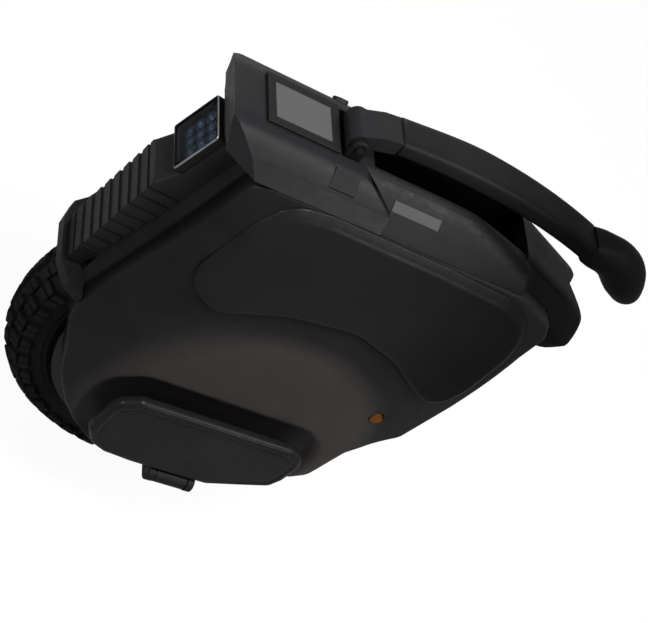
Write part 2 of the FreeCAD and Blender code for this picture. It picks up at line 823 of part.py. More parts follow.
def make_shells():
    shell = shell_body(0).cut(shell_body(shell_wall))
    shell = shell.cut(block(-shell_rear_reach, shell_front_reach, 0, plate_outer, -shell_drop - overrun,
                            shell_rise))
    half = max(ear_reach, hanger_half_width) + notch_gap
    notch = block(-half, half, plate_outer, bulge_half_width + overrun, -pedal_hinge_drop - 2 * foot_drop,
                  -pedal_hinge_drop + foot_drop + notch_gap)
    shell = shell.cut(notch)
    spread = math.hypot(reflector_x, reflector_height) - bulge_radius
    reflector_end = bulge_half_width - bulge_depth * spread / bulge_spread + reflector_proud
    reflector_start = reflector_end - shell_wall - 2 * reflector_proud
    reflector = cross_rod(reflector_radius, reflector_start, reflector_end, reflector_x, reflector_height)
    hole = cross_rod(reflector_radius + seat_gap, plate_outer, bulge_half_width + overrun, reflector_x,
                     reflector_height)
    shell = shell.cut(hole)
    save("side_reflectors", Part.makeCompound([reflector, mirrored(reflector)]))
    screws = []
    for x, height in (shell_point(s) for s in shell_screw_shares):
        outer = side_surface(x, height)
        sunk = outer - shell_wall
        seat = sunk - shell_screw_head_height
        shell = shell.fuse(cross_rod(shell_screw_head_radius + shell_wall, plate_outer,
                                     outer - shell_wall / 2, x, height))
        shell = shell.cut(cross_rod(shell_screw_radius + seat_gap, plate_outer - overrun, outer + overrun,
                                    x, height))
        shell = shell.cut(cross_rod(shell_screw_head_radius + seat_gap, seat, outer + overrun, x, height))
        shank = cross_rod(shell_screw_radius, plate_outer, seat, x, height)
        screw = shank.fuse(cross_rod(shell_screw_head_radius, seat, sunk, x, height))
        screws += [screw, mirrored(screw)]
    save_pair("side_shell", shell.removeSplitter())
    save("shell_screws", Part.makeCompound(screws))


def make_pads():
    """Soft leg pads on the leaning sides: drawn in at the base, full at the belly and crowned."""
    outline = [shell_point(s) for s in pad_outline_shares]

    def section(draw_in, out):
        shift = soft_gap + out
        up = shift * math.sin(math.radians(lean_angle))
        across = shift * math.cos(math.radians(lean_angle))
        return [at(x, leaning(h) + across, h + up) for x, h in inset(outline, draw_in)]

    def leaning(height):
        return shell_half_width - (height - lean_foot) * lean_slope

    pad = loft([section(pad_draw_in, 0), section(0, pad_belly_share * pad_thickness),
                section(pad_shoulder_inset, pad_shoulder_share * pad_thickness),
                section(pad_crown_inset, pad_thickness)])
    save_pair("side_pad", pad)


def make_batteries():
    top = battery_top_share * shell_rise
    bottom = battery_bottom_share * shell_rise
    outer = lean(top) - shell_wall - battery_gap
    lane = hanger_half_width + cable_lane
    front = block(lane, battery_front_share * shell_front_reach, plate_outer, outer, bottom, top)
    rear = block(-battery_rear_share * shell_rear_reach, -lane, plate_outer, outer, bottom, top)
    save_pair("battery", Part.makeCompound([front, rear]))


# Front mudguard and headlight

guard_top = guard_top_share * shell_rise
guard_front = tyre_outer_radius - nose_setback
guard_knee = (guard_front, guard_foot + guard_knee_rise)
guard_brow = (guard_front - nose_lean, guard_top)
lamp_head = (tyre_outer_radius - lamp_head_setback, shell_rise)
lamp_foot = (tyre_outer_radius - lamp_foot_setback, guard_top + lamp_foot_rise)
lamp_tilt = math.degrees(math.atan2(lamp_foot[0] - lamp_head[0], lamp_head[1] - lamp_foot[1]))


def nose_plan(margin):
    """Outline of the narrow nose in x and y, drawn in by a margin."""
    root = nose_root_half_width - margin
    half = [(edge_top[0] - overrun, root), (edge_mid[0], root), (guard_front, nose_half_width - margin)]
    return mirror_outline(half)


def make_front_guard():
    edge = edge_between(front_line, guard_foot, guard_top)
    face = [guard_brow, guard_knee, (guard_front, guard_foot)]
    base = edge + [(x - rib_proud, h) for x, h in face]
    guard = side_prism(base, -plate_outer, plate_outer)
    guard = guard.common(plan_prism(nose_plan(rib_proud), guard_foot, guard_top))
    guard = guard.fuse(strip(edge, guard_wall, plate_outer))
    first = guard_foot + lip_height + rib_foot_margin
    step = (guard_top - rib_top_margin - first) / (rib_count - 1)
    for i in range(rib_count):
        height = first + i * step
        front = on_line(guard_knee, guard_brow, height)
        length = rib_foot_length + (rib_top_length - rib_foot_length) * i / (rib_count - 1)
        low = height - rib_thickness / 2
        bar = block(front - length, front, -plate_outer, plate_outer, low, low + rib_thickness)
        bar = bar.cut(side_prism(shell_outline, -plate_outer, plate_outer))
        guard = guard.fuse(bar.common(plan_prism(nose_plan(0), guard_foot, guard_top)))
    lip_front = guard_front + lip_proud
    half = [(edge_low[0], lip_half_width), (lip_front - lip_bow, lip_shoulder_share * lip_half_width),
            (lip_front, nose_half_width)]
    guard = guard.fuse(plan_prism(mirror_outline(half), guard_foot, guard_foot + lip_height))
    deep = rib_proud + guard_wall
    room = [(0, guard_foot - overrun), (0, guard_top - guard_wall),
            (guard_brow[0] - deep, guard_top - guard_wall),
            (guard_knee[0] - deep, guard_knee[1]), (guard_knee[0] - deep, guard_foot - overrun)]
    hollow = side_prism(room, -plate_outer, plate_outer)
    hollow = hollow.common(plan_prism(nose_plan(deep), guard_foot - overrun, guard_top))
    guard = guard.cut(hollow).cut(torus(tyre_section_radius + side_clearance))
    save("front_mudguard", guard.removeSplitter())


def make_lamp():
    edge = edge_between(front_line, guard_top, shell_rise)
    face = [lamp_head, lamp_foot, (guard_brow[0], guard_top + scoop_rise), (guard_brow[0], guard_top)]
    housing = side_prism(edge + face, -plate_outer, plate_outer)
    housing = housing.common(plan_prism(nose_plan(0), guard_top, shell_rise))
    housing = housing.fuse(strip(edge, guard_wall, plate_outer))
    roof = shell_rise - guard_wall
    floor = guard_top + guard_wall
    room = [(0, floor), (0, roof), (on_line(lamp_head, lamp_foot, roof) - guard_wall, roof),
            (lamp_foot[0] - guard_wall, lamp_foot[1]), (guard_brow[0] - 2 * guard_wall, floor)]
    hollow = side_prism(room, -plate_outer, plate_outer)
    housing = housing.cut(hollow.common(plan_prism(nose_plan(guard_wall), guard_top, shell_rise)))
    height = shell_rise - lamp_centre_drop
    centre = at(on_line(lamp_foot, lamp_head, height), 0, height)

    def placed(shape):
        """Moves a shape made about the origin, facing +X, onto the leaning face."""
        return shape.rotated(V(0, 0, 0), V(0, 1, 0), -lamp_tilt).translated(centre)

    def plate(x0, x1, width, tall):
        return Part.makeBox(x1 - x0, width, tall, V(x0, -width / 2, -tall / 2))

    inner_width = lamp_width - 2 * bezel_wall
    inner_height = lamp_height - 2 * bezel_wall
    lens_width = inner_width - 2 * screen_fit_gap
    lens_height = inner_height - 2 * screen_fit_gap
    pocket = plate(-lamp_sink - seat_gap, lamp_depth, lamp_width + 2 * seat_gap, lamp_height + 2 * seat_gap)
    save("headlight_housing", housing.cut(placed(pocket)).removeSplitter())
    board_back = led_board_thickness - lamp_sink
    board_front = board_back + led_board_thickness
    frame = plate(-lamp_sink, lamp_depth, lamp_width, lamp_height)
    save("headlight_bezel", placed(frame.cut(plate(board_back, lamp_depth + overrun, inner_width,
                                                   inner_height))))
    lens_back = lamp_depth - lens_thickness - screen_sink
    save("headlight_lens", placed(plate(lens_back, lens_back + lens_thickness, lens_width, lens_height)))
    board = plate(board_back, board_front, lens_width, lens_height)
    for column in range(led_columns):
        for row in range(led_rows):
            y = ((column + 1) / (led_columns + 1) - 1 / 2) * inner_width
            h = ((row + 1) / (led_rows + 1) - 1 / 2) * inner_height
            board = board.fuse(rod(V(board_back, y, h), V(board_front + led_height, y, h), led_radius))
    save("headlight_leds", placed(board.removeSplitter()))


# Head cover, display and hinge pocket

head_front = tyre_outer_radius - head_front_setback
head_nose = tyre_outer_radius - head_nose_setback
head_corner = tyre_outer_radius - head_corner_setback
facet_middle_y = (head_flat_half_width + head_shoulder_half_width) / 2
facet_middle_h = head_top - head_shoulder_drop / 2
facet_angle = math.degrees(math.atan2(head_shoulder_drop, head_shoulder_half_width - head_flat_half_width))
hinge_pocket_front = hinge_x + barrel_radius + pocket_front_gap


def behind_seam(drop):
    """The space behind the slanting seam between the head and the middle cover, lowered by a drop."""
    low = shell_rise + seam_low_rise - drop
    top = ridge_top - drop
    points = [(seam_low, shell_rise - 2 * overrun), (seam_low, low), (seam_top, top),
              (seam_top, ridge_top + overrun), (-tail_front, ridge_top + overrun),
              (-tail_front, shell_rise - 2 * overrun)]
    return side_prism(points, -shell_half_width, shell_half_width)


def head_form(wall):
    """The outer form of the head, drawn in by a wall."""
    brow = head_top - head_shoulder_drop
    section = both_sides([(shell_top_half_width - wall, shell_rise),
                          (head_shoulder_half_width - wall, brow),
                          (head_flat_half_width - wall / 2, head_top - wall)])
    side = [(seam_low, shell_rise - overrun), (seam_low, head_top), (head_front - wall, head_top),
            (head_nose - wall, shell_rise), (head_nose - wall, shell_rise - overrun)]
    half = [(seam_low, shell_half_width), (head_corner - wall, shell_half_width),
            (head_corner - wall, shell_top_half_width), (head_front - wall, head_front_half_width)]
    form = section_prism(section, seam_low, head_front)
    form = form.common(side_prism(side, -shell_half_width, shell_half_width))
    return form.common(plan_prism(mirror_outline(half), shell_rise - overrun, head_top))


def on_facet(shape, x, side):
    """Moves a shape made about the origin, facing +Z, onto the left or right shoulder facet of the head."""
    turned = shape.rotated(V(0, 0, 0), V(1, 0, 0), -side * facet_angle)
    return turned.translated(at(x, side * facet_middle_y, facet_middle_h))


def slab(length, width, z0, z1):
    return Part.makeBox(length, width, z1 - z0, V(-length / 2, -width / 2, z0))


def make_head():
    hollow = head_form(head_wall)
    hollow = hollow.cut(block(0, head_rear + head_wall, -shell_half_width, shell_half_width, 0, head_top))
    hollow = hollow.cut(behind_seam(2 * head_wall))
    hollow = hollow.cut(block(lamp_head[0] - head_wall, head_front, -shell_half_width, shell_half_width, 0,
                              head_top))
    for side in (-1, 1):
        y0, y1 = sorted((side * (nose_root_half_width - guard_wall), side * shell_half_width))
        hollow = hollow.cut(block(edge_top[0] - head_wall, head_front, y0, y1, 0, head_top))
    head = head_form(0).cut(hollow)
    floor = head_top - pocket_depth
    tray_half = pocket_half_width + head_wall
    tray = block(head_rear, hinge_pocket_front + head_wall, -tray_half, tray_half, floor - head_wall,
                 head_top - head_wall)
    pocket = block(head_rear - overrun, hinge_pocket_front, -pocket_half_width, pocket_half_width, floor,
                   head_top + overrun)
    head = head.fuse(tray).cut(pocket).cut(behind_seam(0))
    head = head.cut(block(0, head_rear, -channel_half_width, channel_half_width, 0, head_top))
    window = sheet(screen_length + 2 * seat_gap, screen_width + 2 * seat_gap, floor, head_top + overrun)
    head = head.cut(window)
    port_back = -port_thickness - port_floor_gap
    boss = slab(port_length + 2 * port_pin_length + 2 * head_wall, port_width + 2 * head_wall,
                port_back - head_wall, -head_wall / 2)
    head = head.fuse(on_facet(boss, port_x, 1))
    port = slab(port_length + 2 * port_gap, port_width + 2 * port_gap, port_back, overrun)
    throat = rod(V(0, 0, -socket_length - overrun), V(0, 0, overrun), socket_radius + seat_gap)
    hinge = port_hinge_rod(port_length / 2 + port_pin_length + port_gap, port_pin_radius + running_gap)
    for opening in (port, throat, hinge):
        head = head.cut(on_facet(opening, port_x, 1))
    sleeve = rod(V(0, 0, -button_length), V(0, 0, -head_wall / 2), button_radius + head_wall)
    bore = rod(V(0, 0, -button_length - overrun), V(0, 0, overrun), button_radius + slide_gap)
    head = head.fuse(on_facet(sleeve, port_x, -1)).cut(on_facet(bore, port_x, -1))
    save("head_cover", head.removeSplitter())


def port_hinge_rod(half_length, radius):
    """The cover's pivot, along the lower edge of the charge port."""
    y = port_width / 2 - port_pin_radius
    z = -port_thickness / 2
    return rod(V(-half_length, y, z), V(half_length, y, z), radius)


def make_port():
    cover = slab(port_length, port_width, -port_thickness, 0)
    edge = port_width / 2 - port_pin_radius
    cover = cover.cut(Part.makeBox(port_length, port_pin_radius, port_thickness,
                                   V(-port_length / 2, edge, -port_thickness)))
    cover = cover.fuse(port_hinge_rod(port_length / 2, port_thickness / 2))
    cover = cover.fuse(port_hinge_rod(port_length / 2 + port_pin_length, port_pin_radius))
    save("charge_port_cover", on_facet(cover, port_x, 1))
    floor = -port_thickness - port_floor_gap
    socket = rod(V(0, 0, floor - socket_length), V(0, 0, floor), socket_radius)
    socket = socket.cut(rod(V(0, 0, floor - socket_bore_length), V(0, 0, floor + overrun),
                            socket_bore_radius))
    save("charge_socket", on_facet(socket, port_x, 1))
    button = rod(V(0, 0, -button_length), V(0, 0, button_proud), button_radius)
    flange = rod(V(0, 0, -button_length - button_flange_height), V(0, 0, -button_length),
                 button_flange_radius)
    save("power_button", on_facet(button.fuse(flange).translated(V(0, 0, -slide_gap)), port_x, -1))


def make_display():
    top = head_top + display_frame_thickness
    frame = sheet(display_frame_length, display_frame_width, head_top, top)
    opening = sheet(screen_length + 2 * screen_fit_gap, screen_width + 2 * screen_fit_gap, head_top,
                    top + overrun)
    save("display_frame", frame.cut(opening))
    face = top - screen_sink
    save("display_screen", sheet(screen_length, screen_width, face - screen_thickness, face))
    board_top = head_top - head_wall
    board = sheet(screen_length + 2 * board_margin, screen_width + 2 * board_margin,
                  board_top - board_thickness, board_top)
    save("display_board", board.fuse(sheet(screen_length, screen_width, board_top,
                                           face - screen_thickness)))


# Carrying handle

def make_hinge():
    floor = head_top - pocket_depth
    ear_start = barrel_half_width + ear_gap
    ear_end = ear_start + ear_width
    yoke = block(hinge_x - barrel_radius, hinge_x + barrel_radius, -ear_end, ear_end, floor,
                 floor + yoke_plate)
    for y0, y1 in ((ear_start, ear_end), (-ear_end, -ear_start)):
        ear = block(hinge_x - ear_radius, hinge_x + ear_radius, y0, y1, floor, hinge_height)
        yoke = yoke.fuse(ear).fuse(cross_rod(ear_radius, y0, y1, hinge_x, hinge_height))
    bore = cross_rod(pin_radius + seat_gap, -ear_end - overrun, ear_end + overrun, hinge_x, hinge_height)
    save("handle_yoke", yoke.cut(bore).removeSplitter())
    end = ear_end + pin_proud
    save("handle_pin", cross_rod(pin_radius, -end, end, hinge_x, hinge_height))


root_rear = hinge_x - root_length
root_top = hinge_height + barrel_radius + root_rise
arm_front = root_rear - arm_gap
arm_rear = -arm_rear_reach
arm_rear_top = root_top - arm_rear_drop


def arm_top(x):
    """Height of the arm's arched top at a place along it."""
    share = (arm_front - x) / (arm_front - arm_rear)
    chord = root_top - share * arm_rear_drop
    peak = arm_crown_share * (1 - arm_crown_share)
    return chord + arm_crown_rise * share * (1 - share) / peak


def arc_edge(points):
    """An arc through three points of x and height, at the left side of the arm."""
    return Part.Arc(*[at(x, -arm_half_width, h) for x, h in points]).toShape()


def make_arm():
    middle = arm_front + arm_crown_share * (arm_rear - arm_front)
    top = [(x, arm_top(x)) for x in (arm_front, middle, arm_rear)]
    low = [(x, h - arm_thickness) for x, h in reversed(top)]
    joins = [(top[-1], low[0]), (low[-1], top[0])]
    lines = [Part.makeLine(*[at(x, -arm_half_width, h) for x, h in join]) for join in joins]
    wire = Part.Wire(Part.__sortEdges__([arc_edge(top), lines[0], arc_edge(low), lines[1]]))
    arm = Part.Face(wire).extrude(V(0, 2 * arm_half_width, 0))
    x = arm_front + lift_button_share * (arm_rear - arm_front)
    low_face = arm_top(x) - arm_thickness
    bore_top = low_face + lift_button_length + lift_button_travel + slide_gap
    arm = arm.cut(rod(at(x, 0, low_face - overrun), at(x, 0, bore_top), lift_button_radius + slide_gap))
    save("handle_arm", arm)
    button = rod(at(x, 0, low_face - lift_button_proud), at(x, 0, low_face + lift_button_length),
                 lift_button_radius)
    save("lift_button", button)


def make_root():
    barrel = cross_rod(barrel_radius, -barrel_half_width, barrel_half_width, hinge_x, hinge_height)
    bend = (hinge_x - root_bend_share * root_length, root_top - root_bend_drop)
    outline = [(hinge_x, hinge_height + barrel_radius), bend, (root_rear, root_top),
               (root_rear, root_top - arm_thickness), (hinge_x - barrel_radius, hinge_height),
               (hinge_x, hinge_height)]
    root = barrel.fuse(side_prism(outline, -arm_half_width, arm_half_width))
    half = barrel_half_width + overrun
    root = root.cut(cross_rod(pin_radius + running_gap, -half, half, hinge_x, hinge_height))
    save("handle_root", root.removeSplitter())


def make_grip():
    rings = []
    for station, radius, sag in zip(grip_station_shares, grip_radius_shares, grip_sag_shares):
        x = arm_rear - arm_gap - station * grip_reach
        centre = at(x, 0, arm_rear_top - arm_thickness / 2 - sag * grip_drop)
        tilt = math.atan2(grip_drop * min(2 * station, 1), grip_reach)
        direction = V(-math.cos(tilt), 0, -math.sin(tilt))
        rings.append(Part.Wire(Part.makeCircle(radius * grip_radius, centre, direction)))
    save("handle_grip", Part.makeLoft(rings, True, False))


# Middle and tail covers, rear mudguard

def fall(drop):
    """What is cut off the rear of the rails, where they slope down for the hand, lowered by a drop."""
    rear = -tail_front
    low = ridge_top - mid_slope_drop - drop
    points = [(-mid_slope_start, ridge_top - drop), (rear, low), (rear - overrun, low),
              (rear - overrun, ridge_top + overrun), (-mid_slope_start, ridge_top + overrun)]
    return side_prism(points, -shell_half_width, shell_half_width)


def make_middle():
    rear = -tail_front
    sole = channel_floor - mid_wall
    half = [(well_half_width, sole), (well_half_width, shell_rise), (shell_top_half_width, shell_rise),
            (channel_half_width + ridge_width, ridge_top)]
    cover = section_prism(both_sides(half), rear, seam_top)
    channel = block(rear - overrun, seam_top + overrun, -channel_half_width, channel_half_width,
                    channel_floor, ridge_top + overrun)
    above = block(rear, seam_top, -shell_half_width, shell_half_width, shell_rise, ridge_top)
    below = block(rear, head_rear, -shell_half_width, shell_half_width, sole, shell_rise)
    cover = cover.cut(channel).common(above.common(behind_seam(0)).fuse(below))
    rail = [(channel_half_width, sole), (channel_half_width, ridge_top), (shell_top_half_width, shell_rise),
            (shell_top_half_width, sole)]
    low, top, foot, _ = inset(rail, mid_wall)
    hollow = [(low[0], sole - overrun), top, foot, (foot[0], sole - overrun)]
    cavity = section_prism(hollow, rear + mid_wall, seam_low - mid_wall).cut(fall(mid_wall))
    cover = cover.cut(fall(0)).cut(cavity).cut(mirrored(cavity))
    save("middle_cover", cover.removeSplitter())
    run = shell_top_half_width - channel_half_width - ridge_width
    angle = math.degrees(math.atan2(ridge_rise, run))
    y = channel_half_width + ridge_width + label_down_share * run
    label = slab(label_length, label_width, 0, label_thickness).rotated(V(0, 0, 0), V(1, 0, 0), -angle)
    save("label_plate", label.translated(at(label_centre, y, ridge_top - label_down_share * ridge_rise)))


tail_top = shell_rise + tail_rise


def tail_outline():
    run = tail_reach - tail_front
    line = [(-tail_front - s * run, tail_top - t * tail_fall) for s, t in tail_outline_shares]
    chin = -shell_rear_reach - tail_chin_share * tail_overhang
    line.append((chin, tail_top - tail_chin_drop_share * tail_fall))
    return line + [(rear_top[0], line[-1][1]), rear_top, rear_shoulder, top_rear]


def make_tail():
    def roof(half_width, top_half_width, top):
        """A roof of two slopes that falls towards the rear with the tail's top."""
        points = both_sides([(half_width, 0), (half_width, top - tail_slope_drop), (top_half_width, top)])
        return face_of([at(-tail_front, y, h) for y, h in points]).extrude(V(tail_front - tail_reach, 0,
                                                                             -tail_fall))

    corner = -tail_reach + tail_corner_setback
    half = [(-tail_front, tail_half_width), (corner, tail_half_width), (-tail_reach, tail_lobe_half_width),
            (-tail_reach + tail_notch_depth, 0)]
    tail = side_prism(tail_outline(), -tail_half_width, tail_half_width)
    tail = tail.common(roof(tail_half_width, tail_top_half_width, tail_top))
    tail = tail.common(plan_prism(half + [(x, -y) for x, y in reversed(half[:-1])], 0, tail_top))
    core = side_prism(inset(tail_outline(), tail_wall), -tail_half_width, tail_half_width)
    core = core.common(roof(tail_half_width - tail_wall, tail_top_half_width - tail_wall,
                            tail_top - tail_wall))
    core = core.common(block(corner, -tail_front, -tail_half_width, tail_half_width, 0, tail_top))
    save("tail_cover", tail.cut(core).removeSplitter())


def make_rear_guard():
    top = tail_outline()[len(tail_outline_shares) + 1][1]
    edge = edge_between(rear_line, rear_low[1], top)
    guard = strip(edge, -guard_wall, plate_outer)
    ring = cross_ring(well_inner_radius, well_outer_radius, -plate_outer, plate_outer)
    sector = [(-tyre_outer_radius - well_wall - tyre_clearance, rear_guard_foot),
              (rear_low[0], rear_guard_foot)]
    sector = sector + edge + [(-tyre_outer_radius - well_wall - tyre_clearance, top)]
    guard = guard.fuse(ring.common(side_prism(sector, -plate_outer, plate_outer)))
    guard = guard.cut(torus(tyre_section_radius + side_clearance))
    height = top - taillight_drop
    face = edge_x(rear_line, height) - guard_wall
    low = height - taillight_height / 2
    pocket = block(face - overrun, face + taillight_sink, -taillight_half_width - seat_gap,
                   taillight_half_width + seat_gap, low - seat_gap, low + taillight_height + seat_gap)
    save("rear_mudguard", guard.cut(pocket).removeSplitter())
    lens = block(face + taillight_sink - taillight_thickness, face + taillight_sink, -taillight_half_width,
                 taillight_half_width, low, low + taillight_height)
    save("taillight_lens", lens)


# Electronics inside

def make_electronics():
    rear = -heatsink_length / 2 - board_length / 2
    front = rear + heatsink_length
    sink = block(rear, front, -heatsink_half_width, heatsink_half_width, deck_top, deck_top + heatsink_base)
    pitch = (2 * heatsink_half_width - heatsink_fin_thickness) / (heatsink_fin_count - 1)
    for i in range(heatsink_fin_count):
        y = -heatsink_half_width + i * pitch
        sink = sink.fuse(block(rear, front, y, y + heatsink_fin_thickness, deck_top,
                               deck_top + heatsink_base + heatsink_fin_height))
    save("heatsink", sink.removeSplitter())
    board_rear = front + battery_gap
    board = block(board_rear, board_rear + board_length, -board_half_width, board_half_width,
                  deck_top + post_height, deck_top + post_height + board_thickness)
    for share in post_shares:
        for side in (-1, 1):
            x = board_rear + share * board_length
            y = side * (board_half_width - 2 * post_radius)
            board = board.fuse(rod(at(x, y, deck_top), at(x, y, deck_top + post_height), post_radius))
    base = deck_top + post_height + board_thickness
    for i in range(capacitor_count):
        y = (i - (capacitor_count - 1) / 2) * 2 * (capacitor_radius + battery_gap)
        x = board_rear + capacitor_share * board_length
        board = board.fuse(rod(at(x, y, base), at(x, y, base + capacitor_height), capacitor_radius))
    save("control_board", board.removeSplitter())
    x = board_rear + buzzer_share * board_length
    save("buzzer", rod(at(x, 0, base), at(x, 0, base + buzzer_height), buzzer_radius))


def make_cable():
    """The motor cable climbs inside the left shell from the axle's end to the heatsink."""
    height = cable_hole()
    out = bulge_half_width - shell_wall - 2 * cable_radius
    bend = cable_bend_share * (out - axle_end)
    side = lean(height) - shell_wall - 2 * cable_radius
    route = [at(0, axle_end, 0), at(0, out, 0), at(0, side, height), at(0, heatsink_half_width, height)]
    edges = []
    start = route[0]
    for before, corner, after in zip(route, route[1:], route[2:]):
        come = (before - corner).normalize()
        go = (after - corner).normalize()
        half_angle = come.getAngle(go) / 2
        first = corner + come * (bend / math.tan(half_angle))
        last = corner + go * (bend / math.tan(half_angle))
        inward = (come + go).normalize()
        middle = corner + inward * (bend / math.sin(half_angle) - bend)
        edges.append(Part.makeLine(start, first))
        edges.append(Part.Arc(first, middle, last).toShape())
        start = last
    edges.append(Part.makeLine(start, route[-1]))
    path = Part.Wire(edges)
    profile = Part.Wire(Part.makeCircle(cable_radius, route[0], route[1] - route[0]))
    save("motor_cable", path.makePipeShell([profile], True, False))


os.makedirs("parts", exist_ok=True)
make_wheel()
make_stator()
make_axle()
make_well()
make_hangers()
make_pedals()
make_shells()
make_pads()
make_batteries()
make_front_guard()
make_lamp()
make_head()
make_port()
make_display()
make_hinge()
make_root()
make_arm()
make_grip()
make_middle()
make_tail()
make_rear_guard()
make_electronics()
make_cable()
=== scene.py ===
import json
import math

import bmesh
import bpy
import numpy as np
from mathutils import Matrix, Vector, geometry


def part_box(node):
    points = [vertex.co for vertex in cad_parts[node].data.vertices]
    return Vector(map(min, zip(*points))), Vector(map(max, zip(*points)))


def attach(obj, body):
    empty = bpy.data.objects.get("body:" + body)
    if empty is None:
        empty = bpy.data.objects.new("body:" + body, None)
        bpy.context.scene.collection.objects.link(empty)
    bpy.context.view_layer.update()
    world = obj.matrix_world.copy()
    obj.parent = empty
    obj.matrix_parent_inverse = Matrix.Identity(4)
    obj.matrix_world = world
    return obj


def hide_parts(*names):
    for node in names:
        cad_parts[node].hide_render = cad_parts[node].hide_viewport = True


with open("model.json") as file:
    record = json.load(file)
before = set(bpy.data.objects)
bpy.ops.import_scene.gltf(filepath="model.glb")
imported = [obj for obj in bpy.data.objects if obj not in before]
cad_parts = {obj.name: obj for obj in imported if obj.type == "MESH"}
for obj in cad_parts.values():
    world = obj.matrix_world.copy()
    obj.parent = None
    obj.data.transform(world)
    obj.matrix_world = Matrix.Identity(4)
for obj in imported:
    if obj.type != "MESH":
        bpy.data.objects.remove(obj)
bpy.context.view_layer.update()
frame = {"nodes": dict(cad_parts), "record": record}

scene = bpy.context.scene
MM = 0.001

# Sizes repeated from the part's source, in millimetres; heights are measured from the axle
AXLE = 235.0
SECTION = 37.0
TYRE_CENTRE = AXLE - SECTION
RISE, DROP = 322.0, 110.0
FRONT, REAR = 217.0, 216.0
HALF, TOP_HALF, FRONT_HALF, REAR_HALF = 92.0, 69.5, 66.0, 84.0
LEAN_FOOT = 0.47 * RISE
LEAN = (HALF - TOP_HALF) / (RISE - LEAN_FOOT)
FRONT_START, REAR_START = 0.55 * FRONT, 0.75 * REAR
BULGE_HALF, BULGE_RADIUS, BULGE_SPREAD, BULGE_DEPTH = 100.0, 149.93, 74.97, 25.0
PLATE_OUTER = 47.0
PAD_GAP, PAD_THICK = 0.3, 9.0
PEDAL_LENGTH, PEDAL_DEPTH, PEDAL_X, PEDAL_FOOT = 238.0, 110.0, 10.0, -91.0
PEDAL_IN, PEDAL_OUT = 106.0, 120.0
PEDAL_HINGE = (113.0, -105.0)
REFLECTOR = (-141.0, 92.0, 7.0)

# Outlines, in shares of a shell's reach and rise or drop, and of a pedal's half length and depth
SHELL_OUTLINE = [
    (0.68, 1.0), (0.76, 0.966), (0.865, 0.584), (0.972, 0.217), (0.965, 0.165), (0.92, 0.09),
    (0.843, -0.142), (0.728, -0.483), (0.599, -0.775), (0.46, -0.975), (0.35, -1.0),
    (-0.28, -0.955), (-0.417, -0.8), (-0.58, -0.56), (-0.685, -0.4), (-0.7, -0.07), (-0.718, 0.06),
    (-0.833, 0.14), (-0.917, 0.2), (-0.958, 0.441), (-0.981, 0.773), (-1.0, 0.882), (-0.949, 0.938),
    (-0.694, 1.0),
]
PAD_OUTLINE = [
    (0.52, 0.985), (0.37, 1.0), (-0.26, 0.993), (-0.66, 0.978), (-0.8, 0.94), (-0.89, 0.875),
    (-0.925, 0.77), (-0.905, 0.57), (-0.85, 0.482), (-0.75, 0.452), (-0.66, 0.475), (-0.43, 0.565),
    (-0.14, 0.62), (0.18, 0.59), (0.36, 0.545), (0.5, 0.5), (0.6, 0.52), (0.7, 0.59),
    (0.725, 0.655), (0.66, 0.86), (0.59, 0.955),
]
PEDAL_OUTLINE = [
    (-0.4, 0.0), (0.41, 0.0), (0.706, 0.035), (0.874, 0.127), (0.983, 0.32), (1.0, 0.46),
    (1.0, 0.78), (0.95, 0.89), (0.8, 1.0), (-0.8, 1.0), (-0.95, 0.89), (-1.0, 0.78),
    (-1.0, 0.48), (-0.95, 0.3), (-0.756, 0.19),
]

SIDES = ((1, "left"), (-1, "right"))


def at(x, y, h):
    """A point in metres, from millimetres with the height measured from the axle."""
    return Vector((x, y, AXLE + h)) * MM


def rise(value, start, end):
    """How far a value is on its way from a start to an end, held between zero and one."""
    return np.clip((value - start) / (end - start), 0, 1)


def ease(share):
    """A share that starts and ends gently."""
    return share * share * (3 - 2 * share)


def line(value, start, end):
    """The height of a straight line through two points."""
    return start[1] + (value - start[0]) * (end[1] - start[1]) / (end[0] - start[0])


def turns(count):
    """Even angles round a full turn."""
    return [2 * math.pi * i / count for i in range(count)]


# Materials: noise is given by scale, detail and roughness, and a bump by strength and distance in metres

CLOUD, SCUFF, SCUFF_BUMP = (9.0, 4.0, 0.6), (140.0, 6.0, 0.7), (0.05, 0.0004)
GRAIN_DETAIL, GRAIN_DISTANCE, GLOSS_SPREAD = (2.0, 0.6), 0.00025, 0.07
STREAK_STRETCH, STREAK_DETAIL, STREAK_BUMP = (1.0, 0.06, 1.0), 3.0, (0.08, 0.0002)
STREAK_TONES, STREAK_GLOSS = (0.85, 1.1), (-0.06, 0.08)
PEEL, PEEL_BUMP = (420.0, 3.0, 0.5), (0.12, 0.0003)
PAINT_CLOUD, PAINT_SCUFF, PAINT_TONES, PAINT_GLOSS = (14.0, 4.0), (60.0, 4.0), (0.8, 1.2), 0.06
FLOW, FLOW_BUMP, FLOW_TONES = (35.0, 3.0), (0.03, 0.0005), (0.9, 1.05)
LENS_SCUFF, LENS_GLOSS, LENS_IOR = (260.0, 4.0), (0.6, 1.6), 1.12
LOW_SHINE = 0.1

# A lighter, warmer tone on the proud bulge round the hub, in metres: its centre, how far it reaches, how
# proud a face stands to take it, and its patches
BULGE_TONE_CENTRE = (-0.04, 0.0, AXLE * MM)
BULGE_TONE_REACH = (0.16, 0.22)
BULGE_TONE_PROUD = (0.0915, 0.0985)
BULGE_TONE_PATCHES, BULGE_TONE_LEAST = (24.0, 5.0, 0.65), 0.72

# Places along the length, in metres, between which painted shade darkens a finish towards the rear
REAR_SHADE_SPAN = (-0.17, -0.01)


